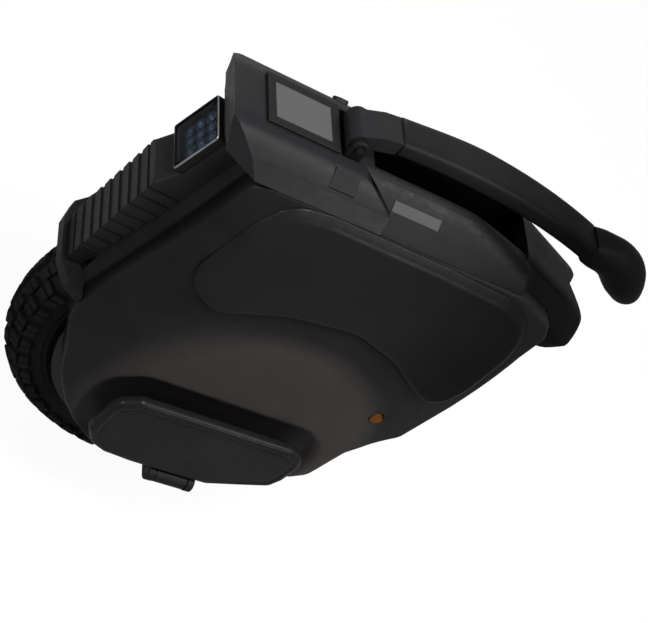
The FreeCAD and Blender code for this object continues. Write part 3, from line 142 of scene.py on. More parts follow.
class Nodes:
    """The node tree of a material or a world, with short ways to add to it."""

    def __init__(self, owner, shader="Principled BSDF"):
        self.owner = owner
        self.owner.use_nodes = True
        self.tree = owner.node_tree
        self.shader = self.tree.nodes[shader]
        self.place = self.add("TexCoord").outputs["Object"]

    def add(self, kind, values=(), **settings):
        """A new node with its settings, and with values or outputs given to its inputs."""
        node = self.tree.nodes.new("ShaderNode" + kind)
        for key, value in settings.items():
            setattr(node, key, value)
        for key, value in dict(values).items():
            self.give(node.inputs[key], value)
        return node

    def give(self, socket, value):
        """Gives an input a value, or joins it to an output."""
        if hasattr(value, "is_output"):
            self.tree.links.new(value, socket)
        else:
            socket.default_value = value

    def combined(self, operation, a, b):
        """What comes of two outputs or values by an operation."""
        return self.add("Math", {0: a, 1: b}, operation=operation).outputs[0]

    def noise(self, scale, detail=2.0, rough=0.5):
        """Noise over the object."""
        values = {"Vector": self.place, "Scale": scale, "Detail": detail, "Roughness": rough}
        return self.add("TexNoise", values).outputs["Fac"]

    def ramp(self, factor, low, high, start=0.3, end=0.7):
        """Colours between two by a factor."""
        node = self.add("ValToRGB", {"Fac": factor})
        node.color_ramp.elements[0].position = start
        node.color_ramp.elements[1].position = end
        node.color_ramp.elements[0].color = (*low, 1)
        node.color_ramp.elements[1].color = (*high, 1)
        return node.outputs["Color"]

    def spread(self, factor, low, high, start=0.3, end=0.7):
        """A factor's range carried over to another range."""
        values = {"Value": factor, "From Min": start, "From Max": end, "To Min": low, "To Max": high}
        return self.add("MapRange", values).outputs["Result"]

    def bump(self, height, strength, distance, after=None):
        """A normal with a height worked in, on top of another one where that is given."""
        values = {"Height": height, "Strength": strength, "Distance": distance}
        if after is not None:
            values["Normal"] = after
        return self.add("Bump", values).outputs["Normal"]

    def bulge_tinted(self, tone, lighter_tone):
        """Mixes in a lighter, warmer tone in patches, strongest on proud faces near the hub."""
        move = self.add("VectorMath", {0: self.place, 1: BULGE_TONE_CENTRE}, operation="SUBTRACT")
        flat = self.add("VectorMath", {0: move.outputs[0], 1: (1, 0, 1)}, operation="MULTIPLY")
        reach = self.add("VectorMath", {0: flat.outputs[0]}, operation="LENGTH")
        near = self.spread(reach.outputs["Value"], 1.0, 0.0, *BULGE_TONE_REACH)
        across = self.add("VectorMath", {0: self.place}, operation="ABSOLUTE")
        parts = self.add("SeparateXYZ", {0: across.outputs[0]})
        proud = self.combined("MULTIPLY", near, self.spread(parts.outputs["Y"], 0.0, 1.0, *BULGE_TONE_PROUD))
        patches = self.spread(self.noise(*BULGE_TONE_PATCHES), BULGE_TONE_LEAST, 1.0)
        tinted_share = self.combined("MULTIPLY", proud, patches)
        mix = self.add("Mix", {"Factor": tinted_share, "A": tone, "B": (*lighter_tone, 1)}, data_type="RGBA")
        return mix.outputs["Result"]

    def painted_rear_shade(self, dark):
        """Painted shade: a share that falls from one to a dark value towards the rear, to darken the colour
        there.
        """
        parts = self.add("SeparateXYZ", {0: self.place})
        return self.spread(parts.outputs["X"], dark, 1.0, *REAR_SHADE_SPAN)

    def scaled(self, tone, share):
        """A colour times a share."""
        return self.add("VectorMath", {0: tone, "Scale": share}, operation="SCALE").outputs[0]

    def seen(self):
        """One where the camera looks, straight or through clear pieces, and zero elsewhere."""
        path = self.add("LightPath")
        return self.combined("MAXIMUM", path.outputs["Is Camera Ray"], path.outputs["Is Transmission Ray"])

    def set(self, **sockets):
        """Gives the shader's inputs values, or joins them to outputs."""
        for key, value in sockets.items():
            self.give(self.shader.inputs[key.replace("_", " ")], value)
        return self.owner


def shade(color, by):
    """A colour made lighter or darker."""
    return tuple(c * by for c in color)


def moulded(name, color, rough, grain=900.0, depth=0.25, vary=0.25, specular=0.1, lighter_tone=None, dark=None):
    """Moulded plastic or rubber: a fine grain, slow changes of tone, uneven gloss, a lighter tone near the
    hub, painted shade to the rear.
    """
    m = Nodes(bpy.data.materials.new(name))
    cloud = m.noise(*CLOUD)
    fine = m.noise(grain, *GRAIN_DETAIL)
    scuff = m.noise(*SCUFF)
    tone = m.ramp(cloud, shade(color, 1 - vary), shade(color, 1 + vary))
    # a lighter, warmer tone mixed in on the proud bulge near the hub
    if lighter_tone:
        tone = m.bulge_tinted(tone, lighter_tone)
    # painted shade: the colour and its shine fall off towards the rear
    if dark:
        share = m.painted_rear_shade(dark)
        tone = m.scaled(tone, share)
        specular = m.spread(share, 0.0, specular, 0.0, 1.0)
    gloss = m.spread(scuff, rough - GLOSS_SPREAD, rough + GLOSS_SPREAD)
    worn = m.bump(scuff, *SCUFF_BUMP)
    return m.set(Base_Color=tone, Roughness=gloss, Normal=m.bump(fine, depth, GRAIN_DISTANCE, worn),
                 Specular_IOR_Level=specular)


def metal(name, color, rough, streak=300.0):
    """Turned or drawn metal with fine streaks."""
    m = Nodes(bpy.data.materials.new(name))
    along = m.add("Mapping", {"Vector": m.place, "Scale": STREAK_STRETCH}).outputs["Vector"]
    streaks = m.add("TexNoise", {"Vector": along, "Scale": streak, "Detail": STREAK_DETAIL}).outputs["Fac"]
    tone = m.ramp(streaks, *(shade(color, by) for by in STREAK_TONES))
    gloss = m.spread(streaks, *(rough + by for by in STREAK_GLOSS))
    return m.set(Base_Color=tone, Metallic=1.0, Roughness=gloss, Normal=m.bump(streaks, *STREAK_BUMP))


def painted(name, color, rough):
    """Powder-coated metal with a fine orange peel."""
    m = Nodes(bpy.data.materials.new(name))
    peel = m.noise(*PEEL)
    tone = m.ramp(m.noise(*PAINT_CLOUD), *(shade(color, by) for by in PAINT_TONES))
    gloss = m.spread(m.noise(*PAINT_SCUFF), rough - PAINT_GLOSS, rough + PAINT_GLOSS)
    return m.set(Base_Color=tone, Roughness=gloss, Normal=m.bump(peel, *PEEL_BUMP),
                 Specular_IOR_Level=LOW_SHINE)


def clear(name, color, rough=0.06, transmission=0.9):
    """Clear moulded plastic with faint flow marks."""
    m = Nodes(bpy.data.materials.new(name))
    flow = m.noise(*FLOW)
    tone = m.ramp(flow, *(shade(color, by) for by in FLOW_TONES))
    gloss = m.spread(m.noise(*LENS_SCUFF), *(rough * by for by in LENS_GLOSS))
    return m.set(Base_Color=tone, Roughness=gloss, Transmission_Weight=transmission, IOR=LENS_IOR,
                 Specular_IOR_Level=LOW_SHINE, Normal=m.bump(flow, *FLOW_BUMP))


# The lighter, warmer tone that is mixed onto the shell's bulge
BULGE_TONE = (0.0262, 0.0226, 0.0212)
MATERIALS = {
    "tyre_rubber": moulded("tread_rubber", (0.0062, 0.0056, 0.0052), 0.7, grain=600.0, depth=0.35,
                           vary=0.35, specular=0.04),
    "tube_rubber": moulded("tube_rubber", (0.014, 0.014, 0.014), 0.6),
    "rim_metal": painted("drum_paint", (0.014, 0.014, 0.015), 0.45),
    "steel": metal("zinc_steel", (0.34, 0.34, 0.35), 0.32),
    "motor_iron": metal("motor_iron", (0.20, 0.20, 0.21), 0.5),
    "copper": metal("copper_wire", (0.60, 0.28, 0.12), 0.35, streak=900.0),
    "frame_metal": painted("frame_paint", (0.006, 0.006, 0.006), 0.45),
    "shell_plastic": moulded("shell_plastic", (0.0068, 0.0068, 0.007), 0.4, specular=0.08, lighter_tone=BULGE_TONE),
    "cover_plastic": moulded("cover_plastic", (0.0095, 0.0095, 0.0106), 0.36),
    # the pad foam takes painted shade that darkens it towards the rear
    "pad_foam": moulded("pad_foam", (0.007, 0.007, 0.0073), 0.33, grain=1500.0, depth=0.15, vary=0.2,
                        specular=0.08, dark=0.5),
    "grip_rubber": moulded("grip_rubber", (0.0024, 0.0024, 0.0026), 0.5, grain=700.0, specular=0.03),
    "bright_rim": metal("bright_rim", (0.42, 0.44, 0.46), 0.16, streak=120.0),
    "clear_lens": clear("lamp_lens", (0.34, 0.39, 0.46), transmission=1.0),
    "led_white": moulded("lamp_board", (0.008, 0.0095, 0.013), 0.35),
    "screen_trim": moulded("screen_trim", (0.007, 0.007, 0.0075), 0.35, grain=1500.0, depth=0.1),
    "screen_grey": moulded("screen_glass", (0.058, 0.058, 0.059), 0.3, grain=2500.0, depth=0.04, vary=0.06),
    "board_green": moulded("circuit_board", (0.015, 0.10, 0.04), 0.45),
    "button_black": moulded("button_plastic", (0.012, 0.012, 0.0125), 0.4),
    "label_silver": moulded("label_foil", (0.046, 0.046, 0.047), 0.4, grain=500.0, depth=0.1, vary=0.1),
    "red_lens": clear("tail_lens", (0.35, 0.008, 0.006), rough=0.12, transmission=0.35),
    "amber_lens": clear("amber_lens", (0.10, 0.036, 0.008), rough=0.2, transmission=0.2),
    "battery_wrap": moulded("battery_wrap", (0.02, 0.06, 0.16), 0.35),
    "heatsink_metal": metal("bare_aluminium", (0.55, 0.56, 0.58), 0.35),
}
LED = moulded("led_domes", (0.30, 0.34, 0.40), 0.25, depth=0.05, vary=0.08)
DISH = metal("lamp_dish", (0.09, 0.10, 0.12), 0.3)
DARK_STEEL = metal("dark_steel", (0.05, 0.05, 0.052), 0.4)
# the arm and the rear covers take painted shade that darkens them towards the rear
ARM_PLASTIC = moulded("arm_plastic", (0.0066, 0.0066, 0.007), 0.42, specular=0.08, dark=0.25)
TAIL_PLASTIC = moulded("tail_plastic", (0.0066, 0.0066, 0.0071), 0.36, specular=0.09, dark=0.3)
DARK_TRIM = moulded("lamp_frame_side", (0.006, 0.006, 0.0065), 0.4)
NOSE_PLASTIC = moulded("nose_plastic", (0.0098, 0.0098, 0.0102), 0.34)
PEDAL_PAINT = painted("pedal_paint", (0.0072, 0.0063, 0.0063), 0.32)
DARK_PINS = ("handle_pin", "pedal_pins")
SLOT_OF = {s["node"]: s["material_slot"] for s in frame["record"]["subparts"]}
BODY_OF = {n: b for b, nodes in frame["record"]["behaviour"]["bodies"].items() for n in nodes}

for name, obj in frame["nodes"].items():
    finish = DARK_STEEL if name in DARK_PINS else MATERIALS[SLOT_OF[name]]
    obj.data.materials.clear()
    obj.data.materials.append(finish)


# Mesh tools: welds are in metres, other lengths in millimetres, angles in radians, sharp limits in degrees

WELD, CUT_WELD, ON_PLANE, LEAST_STEP, MERGE = 1e-5, 1e-6, 0.4, 0.05, 1e-5
FLAT_ANGLE, EDGE_ANGLE, LEAST_ANGLE = math.radians(0.4), math.radians(22.0), 0.05
DRESSED_SHARP, CORNER_SHARE = 50.0, 0.48
RING_SHARE, ROW_SHARE, GRID_SHARE = 0.96, 0.866, 0.45


def finish_mesh(bm, name, node, replaced=(), material=None, sharp=38.0):
    """Makes a piece of a mesh. It rides with a node's body and takes its slot's finish."""
    bmesh.ops.recalc_face_normals(bm, faces=bm.faces)
    for face in bm.faces:
        face.smooth = True
    for edge in bm.edges:
        edge.smooth = edge.calc_face_angle(0.0) < math.radians(sharp)
    mesh = bpy.data.meshes.new(name)
    bm.to_mesh(mesh)
    bm.free()
    obj = bpy.data.objects.new(name, mesh)
    scene.collection.objects.link(obj)
    mesh.materials.append(material or MATERIALS[SLOT_OF[node]])
    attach(obj, BODY_OF[node])
    if replaced:
        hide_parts(*replaced)
    return obj


def eased(co, planes, k):
    """Moves a point inwards near the edges where planes meet, so that the form is softly rounded there."""
    reach = [normal.dot(co) - place for normal, place in planes]
    most = max(reach)
    pulls = [math.exp((d - most) / k) for d in reach]
    total = sum(pulls)
    slope = sum((normal * (pull / total) for (normal, _), pull in zip(planes, pulls)), Vector())
    return co - slope.normalized() * k * math.log(total)


def plane(normal, point):
    """A plane by its normal and a point on it."""
    n = Vector(normal).normalized()
    return n, n.dot(Vector(point))


def both_sides(normal, point):
    """A plane and its mirror image on the other side."""
    return [plane((normal[0], side * normal[1], normal[2]), (point[0], side * point[1], point[2]))
            for side, _ in SIDES]


def dress(node, width, segments=3, material=None, shape=None, cuts=(), planes=(), soft=0.0):
    """A node's form with its edges rounded, which replaces the node. The form can be cut finely along some
    axes, shaped by a function, and softened where given planes meet."""
    bm = bmesh.new()
    bm.from_mesh(frame["nodes"][node].data)
    bmesh.ops.remove_doubles(bm, verts=bm.verts, dist=WELD)
    bmesh.ops.dissolve_limit(bm, angle_limit=FLAT_ANGLE, verts=bm.verts, edges=bm.edges)

    def between(e):
        """Whether an edge lies where two of the planes meet."""
        return all(sum(abs(n.dot(v.co / MM) - c) < ON_PLANE for n, c in planes) > 1 for v in e.verts)

    sharp = [e for e in bm.edges if len(e.link_faces) == 2 and e.calc_face_angle(0.0) > EDGE_ANGLE]
    bmesh.ops.bevel(bm, geom=[e for e in sharp if not between(e)], offset=width * MM, segments=segments,
                    profile=0.5, affect="EDGES", clamp_overlap=True)
    for axis, places in cuts:
        for place in places:
            normal = Vector((axis == 0, axis == 1, axis == 2))
            parts = bm.verts[:] + bm.edges[:] + bm.faces[:]
            bmesh.ops.bisect_plane(bm, geom=parts, dist=CUT_WELD, plane_co=normal * place * MM,
                                   plane_no=normal)
    for v in bm.verts:
        if shape:
            v.co = shape(v.co / MM) * MM
        if planes:
            v.co = eased(v.co / MM, planes, soft) * MM
    obj = finish_mesh(bm, node + "_form", node, [node], material, DRESSED_SHARP)
    flat_faces = obj.modifiers.new("flat_faces", "WEIGHTED_NORMAL")
    flat_faces.keep_sharp = True
    return obj


def rounded(points, radius, steps=6):
    """A closed outline with its corners rounded."""
    out = []
    for i, point in enumerate(points):
        b = Vector(point)
        u, w = Vector(points[i - 1]) - b, Vector(points[(i + 1) % len(points)]) - b
        reach = min(radius / math.tan(max(u.angle(w) / 2, LEAST_ANGLE)),
                    CORNER_SHARE * u.length, CORNER_SHARE * w.length)
        p, q = b + u.normalized() * reach, b + w.normalized() * reach
        for k in range(steps + 1):
            t = k / steps
            out.append(p * (1 - t) ** 2 + b * 2 * t * (1 - t) + q * t * t)
    return out


def resampled(points, step):
    """A closed outline with points no further apart than a step."""
    out = []
    for i, point in enumerate(points):
        after = points[(i + 1) % len(points)]
        count = max(1, math.ceil((after - point).length / step))
        out += [point.lerp(after, k / count) for k in range(count)]
    return [p for i, p in enumerate(out) if (p - out[i - 1]).length > LEAST_STEP]


def signed_area(loop):
    """Area of a closed outline, above zero where it runs anticlockwise."""
    return sum(a.x * b.y - b.x * a.y for a, b in zip(loop, loop[1:] + loop[:1])) / 2


def distances(points, loop):
    """Distance of each point to a closed outline."""
    a = np.array(loop)
    b = np.roll(a, -1, axis=0)
    run = b - a
    length = (run ** 2).sum(1)
    best = np.full(len(points), np.inf)
    for start, vector, size in zip(a, run, length):
        t = np.clip(((points - start) @ vector) / size, 0, 1)
        best = np.minimum(best, np.hypot(*(points - start - t[:, None] * vector).T))
    return best


def inside(points, loop):
    """Which points lie inside a closed outline."""
    found = np.zeros(len(points), bool)
    for a, b in zip(loop, loop[1:] + loop[:1]):
        if a.y == b.y:
            continue
        crosses = (a.y > points[:, 1]) != (b.y > points[:, 1])
        found ^= crosses & (points[:, 0] < a.x + (points[:, 1] - a.y) * (b.x - a.x) / (b.y - a.y))
    return found


def skin(outline, step, rings, holes=(), fine=()):
    """Triangles that fill an outline: rings beside its edge, an even grid, holes and finer places."""
    loops = [resampled(outline, step)] + [resampled(h, step) for h in holes]
    points, edges = [], []
    for number, loop in enumerate(loops):
        if (signed_area(loop) < 0) != (number > 0):
            loop.reverse()
        base = len(points)
        points += loop
        edges += [(base + i, base + (i + 1) % len(loop)) for i in range(len(loop))]

    def edge_distance(candidates):
        """Distance of each point to the nearest of the outlines."""
        return np.minimum.reduce([distances(candidates, loop) for loop in loops])

    def within(candidates):
        """Which points lie inside the outline and outside its holes."""
        keep = inside(candidates, loops[0])
        for hole in loops[1:]:
            keep &= ~inside(candidates, hole)
        return keep

    more = []
    for depth in rings:
        for loop in loops:
            shifted = []
            for i, point in enumerate(loop):
                run = (loop[(i + 1) % len(loop)] - loop[i - 1]).normalized()
                shifted.append(point + Vector((-run.y, run.x)) * depth)
            shifted = np.array(shifted)
            more.append(shifted[within(shifted) & (edge_distance(shifted) > RING_SHARE * depth)])
    corner, far = np.min(np.array(loops[0]), 0), np.max(np.array(loops[0]), 0)
    across = np.arange(corner[0], far[0], step)
    rows = np.arange(corner[1], far[1], step * ROW_SHARE)
    grid = np.array([(x + (k % 2) * step / 2, y) for k, y in enumerate(rows) for x in across])
    grid = grid[within(grid)]
    grid = grid[edge_distance(grid) > rings[-1] + GRID_SHARE * step]
    for x0, y0, x1, y1, close in fine:
        patch = np.array([(x, y) for x in np.arange(x0, x1, close) for y in np.arange(y0, y1, close)])
        grid = grid[~((grid[:, 0] > x0) & (grid[:, 0] < x1) & (grid[:, 1] > y0) & (grid[:, 1] < y1))]
        more.append(patch)
    found = np.concatenate(more + [grid])
    made = geometry.delaunay_2d_cdt(points + [Vector(p) for p in found], edges, [], 1, MERGE)
    flat = np.array([tuple(v) for v in made[0]])
    triangles = made[2]
    if holes:
        middles = np.array([flat[list(f)].mean(0) for f in triangles])
        keep = within(middles)
        triangles = [f for f, k in zip(triangles, keep) if k]
    return flat, triangles, edge_distance(flat)


def fillet_drop(distance, radius):
    """How far a rounded edge falls below its face, by the distance from the edge."""
    near = np.clip(radius - distance, 0, radius)
    return radius - np.sqrt(np.maximum(radius ** 2 - near ** 2, 0))


def soft_min(a, b, k):
    """The lesser of two, with a soft change from one to the other."""
    h = np.clip(0.5 + 0.5 * (b - a) / k, 0, 1)
    return b * (1 - h) + a * h - k * h * (1 - h)


def soft_max(a, b, k):
    """The greater of two, with a soft change from one to the other."""
    return -soft_min(-a, -b, k)


def edge_rings(radius, count=4):
    """Distances from an edge at which a rounded edge has its rings."""
    return [radius * (1 - math.cos(math.pi / 2 * (i + 1) / count)) for i in range(count)]


def extrude_rim(bm, place):
    """Draws a wall from a mesh's open edge to where a function puts it."""
    rim = [e for e in bm.edges if e.is_boundary]
    made = bmesh.ops.extrude_edge_only(bm, edges=rim)["geom"]
    for v in made:
        if isinstance(v, bmesh.types.BMVert):
            v.co = place(v.co)
    return [e for e in made if isinstance(e, bmesh.types.BMEdge) and e.is_boundary]


def side_mesh(flat, triangles, y, side):
    """A skin set upright on one side of the object, by its half widths."""
    bm = bmesh.new()
    made = [bm.verts.new(at(p[0], side * q, p[1])) for p, q in zip(flat, y)]
    for triangle in triangles:
        bm.faces.new([made[i] for i in triangle])
    return bm


def band(bm, low, high, material=0):
    """Joins two rings of points by faces."""
    for i in range(len(low)):
        bm.faces.new([low[i - 1], low[i], high[i], high[i - 1]]).material_index = material


def closed(bm, rings):
    """Joins rings of points one after another, and closes both ends."""
    for low, high in zip(rings, rings[1:]):
        band(bm, low, high)
    bm.faces.new(rings[0])
    bm.faces.new(rings[-1])


def hoop(bm, rings):
    """Joins rings of points one after another, and the last to the first."""
    for i, ring in enumerate(rings):
        band(bm, rings[i - 1], ring)


# Side shells

POCKET_DEPTH, POCKET_FLOOR, POCKET_TOP = 9.0, 9.0, 25.0
SIDE_CREASE, END_CREASE, BULGE_CREASE, BULGE_FOOT = 6.0, 5.0, 7.0, 3.0
PEDAL_CORNER, SHELL_CORNER = 14.0, 16.0
SHELL_EDGE, SHELL_STEP, SHELL_WALL, SHELL_SEAT = 4.0, 3.4, 3.0, 0.2
NOTCH_HALF, NOTCH_TOP = 39.0, -90.5
REFLECTOR_GAP, REFLECTOR_SIDES = 0.3, 28

# The bevelled band along a shell's front edge: where it sets in along the length, at its foot and its head
BAND_START, BAND_FOOT, BAND_HEAD = (150.0, 164.0), (55.0, 70.0), (318.0, 312.0)
CHAMFER, CHAMFER_SLOPE, CHAMFER_SOFT, BAND_EDGE = 10.0, 0.75, 1.5, 1.5

# A short sunk slot: its edge is in squared millimetres, and the skin has finer steps round it
SLOT_X, SLOT_HEIGHT, SLOT_HALF, SLOT_SLOPE, SLOT_DEPTH, SLOT_EDGE = 101.0, 181.0, 4.5, 0.1, 2.0, (3.2, 1.2)
SLOT_SKIN = (92.0, 176.0, 110.0, 186.0, 1.2)


def shell_point(share):
    """A point of an outline on a shell, from shares of the shell's reach and height."""
    return (share[0] * (FRONT if share[0] > 0 else REAR), share[1] * (RISE if share[1] > 0 else DROP))


def leaning(h):
    """Half width of a shell's leaning upper face."""
    return HALF - (h - LEAN_FOOT) * LEAN


pedal_corners = [(PEDAL_X + s * PEDAL_LENGTH / 2, PEDAL_FOOT + t * PEDAL_DEPTH) for s, t in PEDAL_OUTLINE]
pedal_loop = rounded(pedal_corners, PEDAL_CORNER)
shell_loop = rounded([shell_point(s) for s in SHELL_OUTLINE], SHELL_CORNER)


def shell_surface(x, h):
    """Half width of a shell's outside, with soft creases between faces and a pocket behind the pedal."""
    front = line(x, (FRONT_START, HALF), (FRONT, FRONT_HALF))
    rear = line(-x, (REAR_START, HALF), (REAR, REAR_HALF))
    side = soft_min(np.full_like(h, HALF), leaning(h), SIDE_CREASE)
    y = soft_min(soft_min(side, front, END_CREASE), rear, END_CREASE)
    reach = np.hypot(x, h)
    cone = BULGE_HALF - (reach - BULGE_RADIUS) * BULGE_DEPTH / BULGE_SPREAD
    bulge = soft_min(np.full_like(h, BULGE_HALF), cone, BULGE_CREASE)
    y = soft_max(y, bulge, BULGE_FOOT)
    places = np.column_stack([x, h])
    away = np.where(inside(places, pedal_loop), 0.0, distances(places, pedal_loop))
    hollow = np.minimum(y, BULGE_HALF - POCKET_DEPTH)
    return y + (hollow - y) * ease(rise(away, POCKET_TOP, POCKET_FLOOR))


def make_shells():
    """The side shells: one skin, mirrored, notched for the pedal's hinge and holed for the reflector."""
    kept = [p for p in shell_loop if abs(p.x) > NOTCH_HALF or p.y > NOTCH_TOP]
    crossing = next(i for i, p in enumerate(kept)
                    if kept[i - 1].x > NOTCH_HALF and p.x < -NOTCH_HALF and p.y < 0)
    before, after = kept[crossing - 1], kept[crossing]
    notch = [(NOTCH_HALF, before.y), (NOTCH_HALF, NOTCH_TOP),
             (-NOTCH_HALF, NOTCH_TOP), (-NOTCH_HALF, after.y)]
    loop = kept[:crossing] + [Vector(p) for p in notch] + kept[crossing:]
    centre_x, centre_h, radius = REFLECTOR
    radius += REFLECTOR_GAP
    hole = [Vector((centre_x + radius * math.cos(a), centre_h + radius * math.sin(a)))
            for a in turns(REFLECTOR_SIDES)]
    flat, triangles, edge = skin(loop, SHELL_STEP, edge_rings(SHELL_EDGE), [hole], [SLOT_SKIN])
    x, h = flat[:, 0], flat[:, 1]
    front = rise(x, *BAND_START) * rise(h, *BAND_FOOT) * rise(h, *BAND_HEAD)
    bevel = soft_max(np.zeros_like(h), CHAMFER - edge, CHAMFER_SOFT) * CHAMFER_SLOPE
    bevel = bevel + fillet_drop(edge, BAND_EDGE)
    y = shell_surface(x, h) - front * bevel - (1 - front) * fillet_drop(edge, SHELL_EDGE)
    along, above = x - SLOT_X, h - SLOT_HEIGHT
    slot = np.maximum(np.abs(along) - SLOT_HALF, 0) ** 2 + (above - along * SLOT_SLOPE) ** 2
    y = y - SLOT_DEPTH * rise(slot, *SLOT_EDGE)
    for side, name in SIDES:
        node = "side_shell_" + name
        bm = side_mesh(flat, triangles, y, side)
        wall = side * (PLATE_OUTER + SHELL_SEAT) * MM
        extrude_rim(bm, lambda c: Vector((c.x, wall, c.z)))
        shell = finish_mesh(bm, node + "_form", node, [node])
        thick = shell.modifiers.new("wall", "SOLIDIFY")
        thick.thickness = SHELL_WALL * MM
        thick.offset = -1.0


# Leg pads

PAD_CORNER, PAD_CORNER_STEPS, PAD_STEP, PAD_RINGS, PAD_RING_STEP = 70.0, 10, 4.0, 12, 1.0
PAD_ROLL, PAD_ROLL_SHARE, PAD_ROLL_SOFT = 8.0, 0.85, 4.0
PAD_CROWN, PAD_CROWN_REACH, PAD_SHARP = 1.6, 16.0, 60.0


def make_pads():
    """The leg pads: crowned moulded foam, drawn in under its rounded rim."""
    loop = rounded([shell_point(s) for s in PAD_OUTLINE], PAD_CORNER, PAD_CORNER_STEPS)
    flat, triangles, edge = skin(loop, PAD_STEP, [PAD_RING_STEP * (i + 1) for i in range(PAD_RINGS)])
    h = flat[:, 1]
    crown = PAD_THICK - PAD_CROWN * np.exp(-edge / PAD_CROWN_REACH)
    roll = soft_max(PAD_ROLL - edge, np.zeros_like(h), PAD_ROLL_SOFT) * PAD_ROLL_SHARE
    y = leaning(h) + PAD_GAP + crown - roll
    for side, name in SIDES:
        node = "side_pad_" + name
        bm = side_mesh(flat, triangles, y, side)

        def foot(c):
            """The point of the pad's back behind a point of its rim."""
            return Vector((c.x, side * (leaning(c.z / MM - AXLE) + PAD_GAP) * MM, c.z))

        rim = extrude_rim(bm, foot)
        bmesh.ops.edgeloop_fill(bm, edges=rim)
        pad = finish_mesh(bm, node + "_form", node, [node], sharp=PAD_SHARP)


# Pedals

PEDAL_ROUND, PEDAL_ROUND_RINGS, PEDAL_STEP, PEDAL_LIP = 7.0, 5, 4.5, 3.0
PEDAL_BACK_SHARES = (0.972, 0.945)
PEDAL_RIM, PEDAL_CREASE, CREASE_WIDTH = 10.5, 1.0, 1.1
CREASE_RINGS, CREASE_FADE = (-1.8, -0.8, 0.0, 0.8, 1.8), (14.0, 39.0)
FIELD_SHARE, FIELD_WIDTH = 0.5, 2.0
TREAD_TOP, TREAD_SEAT, TREAD_STEP, TREAD_EDGE, TREAD_EDGE_RINGS = 104.3, 106.0, 7.0, 1.0, 3
STUD_TOP, STUD_STEP, STUD_HALF, STUD_TOP_HALF, STUD_SINK, STUD_MARGIN = 103.05, 11.0, 4.0, 2.2, 0.3, 1.5
BARREL_HALF, BARREL_RADIUS, BARREL_BORE, BARREL_CHAMFER, BARREL_SIDES = 20.0, 10.0, 5.0, 1.2, 40
NECK_HALF, NECK_IN, NECK_OUT, NECK_SINK = 19.0, 107.0, 112.5, 6.0


def make_pedals():
    """Smooth plates with a rounded rim and a crease inside it, and the barrel of their hinge below."""
    rings = edge_rings(PEDAL_ROUND, PEDAL_ROUND_RINGS) + [PEDAL_RIM + shift for shift in CREASE_RINGS]
    flat, triangles, edge = skin(pedal_loop, PEDAL_STEP, rings)
    past = edge - PEDAL_RIM
    crease = np.exp(-(past / CREASE_WIDTH) ** 2) + FIELD_SHARE * rise(past, 0.0, FIELD_WIDTH)
    crease = PEDAL_CREASE * crease * rise(flat[:, 1] - PEDAL_FOOT, *CREASE_FADE)
    outer = PEDAL_OUT - fillet_drop(edge, PEDAL_ROUND) - crease
    middle = Vector((PEDAL_X * MM, 0, (AXLE + PEDAL_FOOT + PEDAL_DEPTH / 2) * MM))
    wide, tall = PEDAL_BACK_SHARES
    for side, name in SIDES:
        node = "pedal_" + name
        bm = side_mesh(flat, triangles, outer, side)
        extrude_rim(bm, lambda c: Vector((c.x, side * (PEDAL_IN + PEDAL_LIP) * MM, c.z)))
        rim = extrude_rim(bm, lambda c: Vector((middle.x + (c.x - middle.x) * wide, side * PEDAL_IN * MM,
                                                middle.z + (c.z - middle.z) * tall)))
        bmesh.ops.edgeloop_fill(bm, edges=rim)
        finish_mesh(bm, node + "_plate", node, [node], PEDAL_PAINT)
        make_barrel(node, side)
        make_tread(middle, side, name)


def make_tread(middle, side, name):
    """The rubber tread on a pedal's standing side, with staggered rows of small diamond studs."""
    node = "pedal_grip_" + name
    lo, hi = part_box(node)
    centre = Vector((middle.x, middle.z - AXLE * MM)) / MM
    wide = (hi.x - lo.x) / MM / PEDAL_LENGTH
    tall = (hi.z - lo.z) / MM / PEDAL_DEPTH
    inner = [centre + Vector(((p.x - centre.x) * wide, (p.y - centre.y) * tall)) for p in pedal_loop]
    flat, triangles, edge = skin(inner, TREAD_STEP, edge_rings(TREAD_EDGE, TREAD_EDGE_RINGS))
    bm = side_mesh(flat, triangles, TREAD_TOP + fillet_drop(edge, TREAD_EDGE), side)
    rim = extrude_rim(bm, lambda c: Vector((c.x, side * TREAD_SEAT * MM, c.z)))
    bmesh.ops.edgeloop_fill(bm, edges=rim)
    rows = np.arange(lo.z / MM - AXLE, hi.z / MM - AXLE, STUD_STEP / 2)
    across = np.arange(lo.x / MM, hi.x / MM, STUD_STEP)
    places = np.array([(x + STUD_STEP / 2 * (k % 2), h) for k, h in enumerate(rows) for x in across])
    places = places[inside(places, inner)]
    for x, h in places[distances(places, inner) > STUD_HALF + STUD_MARGIN]:
        rings = []
        for y, half in ((TREAD_TOP + STUD_SINK, STUD_HALF), (STUD_TOP, STUD_TOP_HALF)):
            corners = [(half, 0), (0, half), (-half, 0), (0, -half)]
            rings.append([bm.verts.new(at(x + dx, side * y, h + dh)) for dx, dh in corners])
        closed(bm, rings)
    finish_mesh(bm, node + "_form", node, [node])


